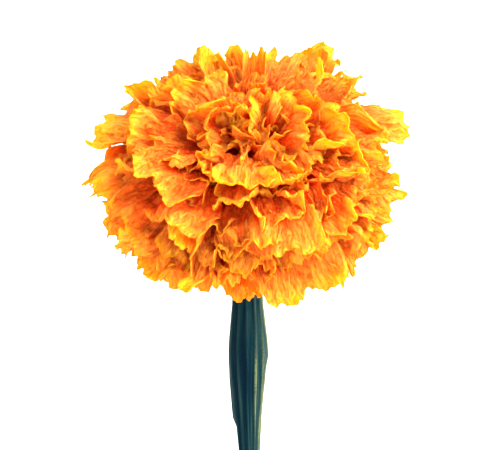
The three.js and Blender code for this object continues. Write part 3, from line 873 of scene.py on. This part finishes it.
def petal_patterns(tree, uv):
    """Veins, creases and facets, each from 0 to 1. Veins and creases are noises stretched to their
    sizes, and facets are cells bent by a coarser noise, so that they stand in no rows."""
    veins_at, creases_at, facets_at = (
        add(tree, "ShaderNodeMapping", Vector=uv, Scale=scale_for(FLORET_SIZE, size)).outputs[0]
        for size in (VEIN, CREASE, FACET)
    )
    veins = add(
        tree, "ShaderNodeTexNoise", Vector=veins_at, Scale=1.0, Detail=6.0, Distortion=1.2
    )
    creases = add(tree, "ShaderNodeTexNoise", Vector=creases_at, Scale=1.0, Detail=5.0)
    bend = add(tree, "ShaderNodeTexNoise", Vector=facets_at, Scale=0.6, Detail=2.0)
    bent_at = add(
        tree, "ShaderNodeVectorMath", MULTIPLY_ADD,
        _0=bend.outputs["Color"], _1=(FACET_BEND, FACET_BEND, 0.0), _2=facets_at,
    ).outputs[0]
    flat = dict(voronoi_dimensions="2D")
    facets = add(tree, "ShaderNodeTexVoronoi", flat, Vector=bent_at, Scale=1.0)
    return veins.outputs["Fac"], creases.outputs["Fac"], facets.outputs["Distance"]


# %% The petals' colours
# The ramp runs from the florets' red-orange bases to their yellow edges. Its lower stops, taken deep
# in the ball, are painted shade as well.
PETAL_DEEP = colour("#ff3800")
PETAL_LOW = colour("#f9560c")
PETAL_LIMB = colour("#f87d24")
PETAL_HIGH = colour("#fdaa38")
PETAL_EDGE = colour("#febc20")
# The rim's yellow is partly the petal's own edge colour and partly a painted highlight.
PETAL_RIM_AND_HIGHLIGHT = colour("#ffc222")
PETAL_RAMP = [
    (0.45, PETAL_DEEP),
    (0.66, PETAL_LOW),
    (0.8, PETAL_LIMB),
    (0.93, PETAL_HIGH),
    (1.0, PETAL_EDGE),
]
# Painted light along the veins: crests painted lighter, furrows painted darker.
VEIN_PAINTED_LIGHT_SHIFT = 0.34  # how much further up the ramp a vein's crest is than its furrow
# A tint starts at the first value of its pattern, is full at the second, and is then this strong.
# Painted highlight on the creases' crests.
PAINTED_CREST_HIGHLIGHT = (0.5, 0.62, 0.32)
# Painted shade, redder, in the creases' furrows.
PAINTED_FURROW_SHADE = (0.48, 0.36, 0.2)
# Yellow rim: partly the petal's own edge colour, partly a painted highlight.
RIM_AND_PAINTED_HIGHLIGHT = (1.07, 1.15, 0.8)
RIM_UNEVENNESS = 0.25


def petal_colour(tree, uv, veins, creases):
    """The ramp at the point's depth attribute, whose deep end is painted shade, shifted up and down
    by the veins as painted highlight and painted shade, and then tinted: a painted highlight on the
    creases' crests, painted shade, redder, in their furrows, and yellow along the uneven rim, partly
    the petal's own edge colour and partly a painted highlight."""
    depth = add(tree, "ShaderNodeAttribute", dict(attribute_name="depth")).outputs["Fac"]
    # Painted highlight and painted shade along the veins.
    vein_painted_light = add(
        tree, "ShaderNodeMath", MULTIPLY_ADD, _0=veins, _1=VEIN_PAINTED_LIGHT_SHIFT, _2=-VEIN_PAINTED_LIGHT_SHIFT / 2
    ).outputs[0]
    shifted = add(tree, "ShaderNodeMath", ADD, _0=depth, _1=vein_painted_light).outputs[0]
    body = add(tree, "ShaderNodeValToRGB", stops=PETAL_RAMP, Fac=shifted).outputs["Color"]
    along = add(tree, "ShaderNodeSeparateXYZ", Vector=uv).outputs["Y"]
    uneven = add(
        tree, "ShaderNodeMath", MULTIPLY_ADD, _0=creases, _1=RIM_UNEVENNESS, _2=along
    ).outputs[0]
    tints = [(creases, PAINTED_CREST_HIGHLIGHT, PETAL_EDGE), (creases, PAINTED_FURROW_SHADE, PETAL_LOW), (uneven, RIM_AND_PAINTED_HIGHLIGHT, PETAL_RIM_AND_HIGHLIGHT)]
    for value, (start, full, strength), tint in tints:
        share = add(
            tree, "ShaderNodeMapRange", Value=value, From_Min=start, From_Max=full, To_Max=strength
        ).outputs["Result"]
        body = add(tree, "ShaderNodeMix", COLOUR_MIX, _0=share, _6=body, _7=tint).outputs[2]
    return body


# %% The petals' relief
# Heights in mm. They stand for folds finer than the mesh, so they are larger than a real vein's.
VEIN_HEIGHT = 2.8
CREASE_HEIGHT = 2.6
FACET_HEIGHT = 2.2


def petal_relief(tree, veins, creases, facets):
    """The three patterns as bumps, one over another."""
    reliefs = [(veins, 1.0, VEIN_HEIGHT), (creases, 0.9, CREASE_HEIGHT), (facets, 1.0, FACET_HEIGHT)]
    under = {}
    for pattern, strength, height in reliefs:
        bump = add(
            tree, "ShaderNodeBump", Height=pattern, Strength=strength, Distance=height * MM, **under
        )
        under = dict(Normal=bump.outputs["Normal"])
    return under["Normal"]


# %% Petal material
def petal_material():
    """Fresh marigold petal, grown thin and without a waxy skin. To the eye it is matt and
    saturated, with a warm glow where light comes through it."""
    material, tree = new_material("marigold petal")
    uv = add(tree, "ShaderNodeUVMap", dict(uv_map="UVMap")).outputs["UV"]
    veins, creases, facets = petal_patterns(tree, uv)
    base = petal_colour(tree, uv, veins, creases)
    skin = add(
        tree, "ShaderNodeBsdfPrincipled", Base_Color=base, Roughness=0.7, Specular_IOR_Level=0.15,
        Normal=petal_relief(tree, veins, creases, facets),
    )
    through = add(tree, "ShaderNodeBsdfTranslucent", Color=base)
    mixed = add(
        tree, "ShaderNodeMixShader", Fac=0.56, _1=skin.outputs[0], _2=through.outputs[0]
    )
    add(tree, "ShaderNodeOutputMaterial", Surface=mixed.outputs[0])
    print(material.name, "has", len(tree.nodes), "nodes")
    return material


petal = petal_material()

# %% [markdown]
# ## The bloom
#
# All florets grow on one receptacle, so they could be one mesh. That mesh would be too large to
# handle, and one object for each floret would be too many. So the florets are sorted from the
# crown down the back and cut into five layers, and each layer is one piece.

# %% Bloom pieces
LAYERS = ["crown_florets", "upper_florets", "middle_florets", "lower_florets", "outer_florets"]


def on_both_sides(values):
    """One value for each point of the middle surfaces, given to the blades' tops and bottoms."""
    return np.repeat(values.reshape(len(values), 1, -1), 2, axis=1).ravel()


def bloom_piece(name, chosen):
    """The chosen florets as one mesh piece. A point's depth attribute is half how far out in the
    ball it lies, which paints shade deep in the ball, half how far along its floret, plus the
    floret's tone, which paints light and shade on listed florets."""
    f = {key: values[chosen] for key, values in florets.items()}
    surface, u, v = middle_surfaces(f)
    points, faces = blades(pressed_up(to_world(surface)))
    # Painted shade: the deeper a point lies in the ball, the lower and redder its colour on the
    # ramp.
    outness = np.linalg.norm((surface - BALL_MIDDLE) / BALL, axis=-1)
    depth = (outness + u) / 2 + f["tone_and_painted_light"][:, None, None]
    across = v / 2 + 0.5 + f["number"][:, None, None]
    uv = np.stack([on_both_sides(across), on_both_sides(u)], axis=-1)
    made = piece_from(name, points, faces, petal, uv, dict(depth=on_both_sides(depth)))
    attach(made, "root")
    return made


order = np.argsort(florets["polar"])
for name, chosen in zip(LAYERS, np.array_split(order, len(LAYERS))):
    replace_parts(bloom_piece(name, chosen), "bloom")

# %% [markdown]
# ## The floret bases
#
# Deep between the florets, their narrow bases stand packed on the receptacle. Little of them can
# be seen, and modelling each would cost as much as its limb. One grooved, turned body stands in
# for them: it stops the eye where the real bases would.

# %% A turned body of bases
# Radius and height, from the stalk up.
BASES_SIDE = np.array([
    (0.5, -18.4), (4.6, -18.4), (6.5, -14.9), (7.9, -9.4), (8.5, -3.4), (8.7, 3.5), (17, 4.0),
    (22, 6.5), (24, 9.5), (22.5, 12.5), (18, 15), (11, 16), (5, 14), (0.5, 13),
])
BASES_ROUND = 144
BASES_ROWS = 50
GROOVES = 36
GROOVE_SHARE = 0.05
GROOVED = (9, 12)  # the radius where the grooves start, and where they are fully there
# Painted shade: the bases take the ramp's deepest stop, partly the florets' own red-orange and
# partly the shade between them.
BASES_DEPTH_AND_PAINTED_SHADE = 0.42  # on the petals' ramp


def floret_bases():
    """The profile BASES_SIDE turned about the axis, with a groove between each two bases: radius *
    (1 + GROOVE_SHARE * |sin(GROOVES / 2 * turn)|)."""
    share = np.linspace(0, 1, len(BASES_SIDE))
    rows = np.linspace(0, 1, BASES_ROWS)
    radius = np.interp(rows, share, BASES_SIDE[:, 0])[:, None]
    height = np.interp(rows, share, BASES_SIDE[:, 1])[:, None]
    turn = np.linspace(0, TAU, BASES_ROUND, endpoint=False)[None, :]
    bulge = GROOVE_SHARE * np.abs(np.sin(GROOVES / 2 * turn))
    grooved = radius * (1 + bulge * smoothstep(radius, *GROOVED))
    points = to_world(on_circle(grooved, height, turn).reshape(-1, 3))
    uv = np.stack(np.broadcast_arrays(turn / TAU, rows[:, None]), axis=-1).reshape(-1, 2)
    depth = np.full(len(points), BASES_DEPTH_AND_PAINTED_SHADE)
    faces = grid_faces(BASES_ROWS, BASES_ROUND, around=True)
    poles = poles_of(BASES_ROWS, BASES_ROUND)
    made = piece_from("floret_bases", points, faces, petal, uv, dict(depth=depth), poles)
    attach(made, "root")
    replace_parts(made, "bloom")


floret_bases()

# %% [markdown]
# ## The green cup's finish
#
# A fresh bract is dark green, with paler, fine streaks along it. It could have leaf veins drawn on
# it, but from this far its streaks run straight, so one stretched noise gives them. It sits in the
# florets' shade and shines very little.

# %% Bract material
# Sizes in mm, round the cup and along it, outside and inside.
CUP_SIZE = (63.0, 40.0)
BRACT_STREAK = (0.7, 10.0)
BRACT_RAMP = [(0.35, colour("#182c1e")), (0.65, colour("#45592f"))]


def bract_material():
    """Fresh bract, grown with a thin, dull skin. To the eye it is dark green with paler streaks."""
    material, tree = new_material("fresh green bract")
    uv = add(tree, "ShaderNodeUVMap", dict(uv_map="UVMap")).outputs["UV"]
    scale = scale_for(CUP_SIZE, BRACT_STREAK)
    streaks_at = add(tree, "ShaderNodeMapping", Vector=uv, Scale=scale).outputs[0]
    streaks = add(
        tree, "ShaderNodeTexNoise", Vector=streaks_at, Scale=1.0, Detail=3.0
    ).outputs["Fac"]
    base = add(tree, "ShaderNodeValToRGB", stops=BRACT_RAMP, Fac=streaks).outputs["Color"]
    bump = add(tree, "ShaderNodeBump", Height=streaks, Strength=0.4, Distance=0.4 * MM)
    skin = add(
        tree, "ShaderNodeBsdfPrincipled", Base_Color=base, Roughness=0.6, Specular_IOR_Level=0.05,
        Normal=bump.outputs["Normal"],
    )
    add(tree, "ShaderNodeOutputMaterial", Surface=skin.outputs[0])
    print(material.name, "has", len(tree.nodes), "nodes")
    return material


bract = bract_material()

# %% [markdown]
# ## The green cup
#
# Bracts grown together hold the florets. Each could be modelled and joined to the next, but they
# have no seams. So the cup is one surface: it runs up the outside, over the toothed rim and down
# the inside, and each bract has a rounded back with a midrib.

# %% Cup
CUP_SIDE = np.array([(4.7, -21), (6.3, -19), (8.2, -15.5), (9.6, -10), (10.2, -4)])
CUP_RIM = -0.5  # height of the notches between its teeth
CUP_WALL = 1.2
CUP_FLOOR = 0.2  # how much higher than the outside's second ring the inside's floor is
TEETH = 8
TOOTH = 3.2
TOOTH_POWER = 1.2  # above 1, it is drawn out to a point
BACK_SHARE = 0.05
BACK_LEVEL = 0.6  # where on a bract's back the cup has its own radius
MIDRIB_SHARE = 0.02
MIDRIB_START = 0.9
RIM_START = 0.75  # the share of the side from which the teeth rise
RIM_THINNING = 0.6
POLE_RADIUS = 0.3
CUP_ROUND = 160
CUP_ROWS = 36


def cup():
    """Rings about the axis: the outside's profile, the rim with its teeth, the inside's profile.
    tooth goes from 0 in a notch to 1 at a tooth's tip. The outside's radius is times 1 +
    BACK_SHARE * (sqrt(tooth) - BACK_LEVEL), plus MIDRIB_SHARE where tooth is nearly 1."""
    turn = np.linspace(0, TAU, CUP_ROUND, endpoint=False)[None, :]
    tooth = 1 - np.abs(2 * ((turn / TAU * TEETH) % 1) - 1)
    rim = CUP_RIM + TOOTH * tooth**TOOTH_POWER
    back = 1 + BACK_SHARE * (np.sqrt(tooth) - BACK_LEVEL)
    back = back + MIDRIB_SHARE * smoothstep(tooth, MIDRIB_START, 1)
    rows = np.linspace(0, 1, CUP_ROWS)[:, None]
    knots = np.linspace(0, 1, len(CUP_SIDE))
    side_radius, side_height = (np.interp(rows, knots, CUP_SIDE[:, k]) for k in (0, 1))
    rise = smoothstep(rows, RIM_START, 1.0)
    outer = side_radius * back
    outer_height = side_height + (rim - CUP_SIDE[-1, 1]) * rise
    inner = np.broadcast_to(side_radius - CUP_WALL * (1 - RIM_THINNING * rise), outer.shape)
    floor = CUP_SIDE[1, 1] + CUP_FLOOR
    inner_height = np.maximum(outer_height, floor)

    pole = np.full((1, CUP_ROUND), POLE_RADIUS)
    below, above = np.full_like(pole, CUP_SIDE[0, 1]), np.full_like(pole, floor)
    radius = np.concatenate([pole, outer, inner[::-1], pole])
    height = np.concatenate([below, outer_height, inner_height[::-1], above])
    points = to_world(on_circle(radius, height, turn).reshape(-1, 3))
    count = len(radius)
    along = np.linspace(0, 1, count)[:, None]
    uv = np.stack(np.broadcast_arrays(turn / TAU, along), axis=-1).reshape(-1, 2)
    faces = grid_faces(count, CUP_ROUND, around=True)
    poles = poles_of(count, CUP_ROUND)
    made = piece_from("bract_cup", points, faces, bract, uv, poles=poles)
    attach(made, "root")
    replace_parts(made, "involucre")


cup()

# %% [markdown]
# ## The stalk's finish
#
# A marigold stalk has dark, blue-green furrows and paler, grey-green ridges, and it is paler
# towards its cut. Its side towards the key lamp is painted paler as well, as painted light. A plain
# green with a stripe texture would look printed on. So its mesh carries how pale each point is,
# worked out from the same ridges as its shape, plus the painted light, and a ramp turns that into
# colour, with streaks and grain to break it up.

# %% Stalk material
# Sizes in mm, round the stalk and along it.
STALK_SIZE = (24.0, 100.0)
STALK_STREAK = (0.6, 20.0)
STALK_GRAIN = (0.4, 0.5)
STREAK_CONTRAST = 1.7
GRAIN_CONTRAST = 0.5
DARKENING = -1.2
STALK_RAMP = [
    (0.0, colour("#000e18")),
    (0.25, colour("#02191d")),
    (0.5, colour("#0e2223")),
    (0.7, colour("#192926")),
    (0.88, colour("#2c3729")),
    (1.0, colour("#485033")),
]
PITH = colour("#6f7b48")


def stalk_patterns(tree, uv):
    """Streaks and grain: noises stretched to their sizes."""
    for size, detail in ((STALK_STREAK, 4.0), (STALK_GRAIN, 2.0)):
        scale = scale_for(STALK_SIZE, size)
        at = add(tree, "ShaderNodeMapping", Vector=uv, Scale=scale).outputs[0]
        yield add(tree, "ShaderNodeTexNoise", Vector=at, Scale=1.0, Detail=detail).outputs["Fac"]


def stalk_material():
    """Fresh stalk, grown ribbed, with a dull skin and pale pith where it is cut. To the eye it is
    dark and cool, with thin, pale lines along it."""
    material, tree = new_material("fresh marigold stalk")
    uv = add(tree, "ShaderNodeUVMap", dict(uv_map="UVMap")).outputs["UV"]
    paleness = add(tree, "ShaderNodeAttribute", dict(attribute_name="ridge")).outputs["Fac"]
    pith = add(tree, "ShaderNodeAttribute", dict(attribute_name="pith")).outputs["Fac"]
    streaks, grain = stalk_patterns(tree, uv)
    mixed = DARKENING
    for pattern, contrast in ((streaks, STREAK_CONTRAST), (grain, GRAIN_CONTRAST)):
        mixed = add(
            tree, "ShaderNodeMath", MULTIPLY_ADD, _0=pattern, _1=contrast, _2=mixed
        ).outputs[0]
    factor = add(tree, "ShaderNodeMath", ADD, _0=paleness, _1=mixed).outputs[0]
    green = add(tree, "ShaderNodeValToRGB", stops=STALK_RAMP, Fac=factor).outputs["Color"]
    base = add(tree, "ShaderNodeMix", COLOUR_MIX, _0=pith, _6=green, _7=PITH).outputs[2]
    bump = add(tree, "ShaderNodeBump", Height=streaks, Strength=0.5, Distance=0.4 * MM)
    skin = add(
        tree, "ShaderNodeBsdfPrincipled", Base_Color=base, Roughness=0.55, Specular_IOR_Level=0.02,
        Normal=bump.outputs["Normal"],
    )
    add(tree, "ShaderNodeOutputMaterial", Surface=skin.outputs[0])
    print(material.name, "has", len(tree.nodes), "nodes")
    return material


stem = stalk_material()

# %% [markdown]
# ## The stalk
#
# The stalk swells below the bloom. Eleven ridges run down it, and two thin wings stand out at its
# sides. A curve with a bevel would give it one round section. Instead, rings are set across a
# curve, because then the radius can follow any formula, round the stalk and along it. It is the
# solid's own formula, with narrower ridges and a cut end that shows the pith.

# %% The stalk's line
STALK_REACH = 104  # from the receptacle back to the cut end
STALK_END = np.array([1.2, RECEPTACLE_Y - STALK_REACH, 3.1])
NECK_PULL = 19.0
LYING_PULL = 50.0
LYING_WAY = np.array([-0.036, 1, 0.096])  # from the cut end back towards the bloom
CLEARANCE = 0.35  # between the cup and the stalk
STALK_ROWS = 140
LINE_STEPS = 2001


def stalk_line():
    """Evenly spaced points along a cubic curve, and the directions forward, right and up at each.
    The curve leaves the cup along the bloom's axis and arrives at the cut end nearly level."""
    top = to_world(np.array([0, 0, CUP_SIDE[0, 1] - CLEARANCE]))
    down = -HEAD_AXES[2]
    ends = [top, top + NECK_PULL * down, STALK_END + LYING_PULL * LYING_WAY, STALK_END]
    line, _ = bezier([p[None] for p in ends], np.linspace(0, 1, LINE_STEPS)[None, :, None])
    line = line.reshape(-1, 3)
    gone = np.concatenate([[0], np.cumsum(np.linalg.norm(np.diff(line, axis=0), axis=-1))])
    print("The stalk is", round(gone[-1], 1), "mm long")
    at = np.linspace(0, 1, STALK_ROWS) * gone[-1]
    centre = np.stack([np.interp(at, gone, line[:, k]) for k in range(3)], axis=-1)
    forward = np.gradient(centre, axis=0)
    forward /= np.linalg.norm(forward, axis=-1, keepdims=True)
    right = np.array([1.0, 0, 0]) - forward[:, :1] * forward
    right /= np.linalg.norm(right, axis=-1, keepdims=True)
    return centre, forward, right, np.cross(forward, right)


# %% The stalk's section
# Broken lines of a share of its length and millimetres.
STALK_RADIUS = [
    (0, 4.3), (0.15, 4.1), (0.25, 4.2), (0.37, 4.95), (0.42, 5.05),
    (0.5, 4.7), (0.63, 3.75), (0.74, 3), (1, 2.8),
]
LEFT_WING = [(0, 0), (0.2, 0.2), (0.37, 0.6), (0.5, 0.9), (0.63, 1.1), (0.66, 0), (1, 0)]
RIGHT_WING = [(0, 0), (0.2, 0.1), (0.37, 0.9), (0.42, 1.1), (0.47, 0.5), (0.6, 0), (1, 0)]
WING_SHARPNESS = 12
RIBS = 11
RIB = 0.32
RIB_TURN = math.radians(93)  # of a rib that faces up
RIB_SHARPNESS = 2.2


def broken_line(points, share):
    """The height of a broken line at a share of its length."""
    return np.interp(share, [p[0] for p in points], [p[1] for p in points])


def ridges(turn):
    """From 0 in a furrow to 1 on a rib: a cosine with RIBS waves, to the power RIB_SHARPNESS."""
    return (0.5 + 0.5 * np.cos(RIBS * (turn - RIB_TURN))) ** RIB_SHARPNESS


def stalk_radius(share, turn):
    """The broken line STALK_RADIUS, plus the ridges, plus each wing: its height times the cosine
    towards its side, to the power WING_SHARPNESS."""
    wing = np.maximum(0, np.cos(turn)) ** WING_SHARPNESS * broken_line(RIGHT_WING, share)
    wing = wing + np.maximum(0, -np.cos(turn)) ** WING_SHARPNESS * broken_line(LEFT_WING, share)
    return broken_line(STALK_RADIUS, share) + RIB * (2 * ridges(turn) - 1) + wing


# %% How pale the stalk is
# How much each part adds, up the stalk's ramp.
RIDGE_PALENESS = 0.7
LEAST_RIDGE = 0.3  # the share of it that every ridge has
# Painted light: the +X side, towards the key lamp, is painted paler.
PAINTED_LIGHT_PALENESS = 0.4
PAINTED_LIGHT_SIDE = (-0.3, 0.8)  # the turn's cosine where it starts, and where it is fully there
WING_PALENESS = 0.3
WING_START = 0.9  # the same cosine, either way
CUT_PALENESS = 0.35


def paleness_at(turn, along):
    """The ridges, each by its own draw, plus painted light on the +X side, towards the key lamp,
    plus the wings' edges, plus a rise towards the cut, as along ** 1.5."""
    rib_number = np.round((turn - RIB_TURN) / TAU * RIBS) % RIBS
    rib_share = LEAST_RIDGE + (1 - LEAST_RIDGE) * draw(rib_number, 60)
    pale = RIDGE_PALENESS * ridges(turn) * rib_share
    # Painted light on the side towards the key lamp.
    pale = pale + PAINTED_LIGHT_PALENESS * smoothstep(np.cos(turn), *PAINTED_LIGHT_SIDE)
    pale = pale + WING_PALENESS * smoothstep(np.abs(np.cos(turn)), WING_START, 1)
    return pale + CUT_PALENESS * along**1.5


# %% Stalk
STALK_ROUND = 176
CUT_ROWS = 10
SMALLEST_RING = 0.02  # the share of the radius at which the ends close
CUT_HOLLOW = 0.5  # mm


def stalk():
    """Rings across the stalk's line, closed by shrinking rings at both ends. The cut end's middle
    sinks by CUT_HOLLOW * (1 - share of the radius) ** 2."""
    centre, forward, right, up = stalk_line()
    share = np.linspace(0, 1, STALK_ROWS)[:, None]
    turn = np.linspace(0, TAU, STALK_ROUND, endpoint=False)[None, :]
    radius = stalk_radius(share, turn)
    rings = centre[:, None] + (radius * np.cos(turn))[..., None] * right[:, None]
    rings = rings + (radius * np.sin(turn))[..., None] * up[:, None]

    inward = np.linspace(1, SMALLEST_RING, CUT_ROWS)[:, None, None]
    first = centre[0] + (rings[0] - centre[0]) * inward[::-1]
    cut = centre[-1] + (rings[-1] - centre[-1]) * inward
    cut = cut - CUT_HOLLOW * forward[-1] * (1 - inward) ** 2
    points = np.concatenate([first, rings, cut])
    count = len(points)
    along = np.linspace(0, 1, count)[:, None]
    pith = np.zeros((count, STALK_ROUND))
    pith[-CUT_ROWS:] = 1
    attributes = dict(ridge=paleness_at(turn, along).ravel(), pith=pith.ravel())
    uv = np.stack(np.broadcast_arrays(turn / TAU, along), axis=-1).reshape(-1, 2)
    faces = grid_faces(count, STALK_ROUND, around=True)
    poles = poles_of(count, STALK_ROUND)
    points = points.reshape(-1, 3)
    made = piece_from("ribbed_stalk", points, faces, stem, uv, attributes, poles)
    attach(made, "root")
    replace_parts(made, "stalk")


stalk()

# %% [markdown]
# ## The floor
#
# The flower lies on pale studio paper. A rolled backdrop would be needed for a low camera. This
# one looks straight down, so one large, level sheet is enough. It is declared as stage, because it
# isn't part of the flower.

# %% Floor
FLOOR_HALF_SIZE = 3000.0


def floor_piece():
    """One square face at height 0. Matt paper gives the eye soft shadows and no reflections."""
    signs = np.array([(-1, -1, 0), (1, -1, 0), (1, 1, 0), (-1, 1, 0)])
    material, tree = new_material("pale studio paper")
    paper = add(
        tree, "ShaderNodeBsdfPrincipled", Base_Color=colour("#fbfbfb"), Roughness=0.9
    )
    add(tree, "ShaderNodeOutputMaterial", Surface=paper.outputs[0])
    made = piece_from("floor", FLOOR_HALF_SIZE * signs, np.array([[0, 1, 2, 3]]), material)
    made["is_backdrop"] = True


floor_piece()

# %% [markdown]
# ## The light
#
# The photograph has a bright, even light, a little stronger from the right. Spot lamps would draw
# hard shadows between the florets. A white world gives the even part, and two large, soft boxes
# give the rest.

# %% Light
WORLD_STRENGTH = 2.75
LIT_PLACE = (0, 0.03, 0.03)  # metres, as the lamps' places and sizes

scene = bpy.context.scene
scene.view_settings.view_transform = "Standard"
world = bpy.data.worlds.new("studio")
scene.world = world
world.use_nodes = True
world.node_tree.nodes["Background"].inputs["Color"].default_value = (1, 1, 1, 1)
world.node_tree.nodes["Background"].inputs["Strength"].default_value = WORLD_STRENGTH


def soft_box(name, at, size, power):
    """A square lamp with its -Z axis turned to the flower. power is in watts."""
    lamp = bpy.data.lights.new(name, "AREA")
    lamp.energy = power
    lamp.size = size
    made = bpy.data.objects.new(name, lamp)
    scene.collection.objects.link(made)
    made.location = at
    made.rotation_euler = (Vector(LIT_PLACE) - Vector(at)).to_track_quat("-Z", "Y").to_euler()
    print("Soft box", name, "of", power, "watts at", at)


soft_box("key", (0.95, 0.7, 0.6), 1.5, 125)
soft_box("fill", (-0.1, -0.7, 0.8), 0.8, 15)

# %% [markdown]
# ## The camera
#
# The photograph looks straight at the flower, here from half a metre above it. A camera could be
# moved by eye until the picture fits. Instead, its place and lens follow from the values that set
# the florets, so each floret comes out over its own pixel.

# %% Camera
SENSOR = 36.0  # mm
PICTURE_WIDTH = 490  # pixels

lens_data = bpy.data.cameras.new("camera")
lens_data.sensor_width = SENSOR
lens_data.lens = SENSOR * CAMERA_DISTANCE * PIXELS_PER_MM / PICTURE_WIDTH
camera = bpy.data.objects.new("camera", lens_data)
scene.collection.objects.link(camera)
eye = to_world(BALL_MIDDLE) + np.array([
    (PICTURE_MIDDLE[0] - BLOOM_PIXEL[0]) / PIXELS_PER_MM,
    (BLOOM_PIXEL[1] - PICTURE_MIDDLE[1]) / PIXELS_PER_MM,
    CAMERA_DISTANCE,
])
camera.location = eye * MM
scene.camera = camera
print("Camera at", eye.round(1), "mm, with a lens of", round(lens_data.lens, 1), "mm")

# %% [markdown]
# ## The size
#
# The petals reach a little past the solid model. Both boxes are set side by side in a
# dictionary, and the visual box is printed.

# %% Size
visual_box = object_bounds()
as_lists = lambda box: [[float(x) for x in corner] for corner in box]
{"cad": as_lists(cad_box), "visual": as_lists(visual_box)}
print("visual box in metres:", visual_box)
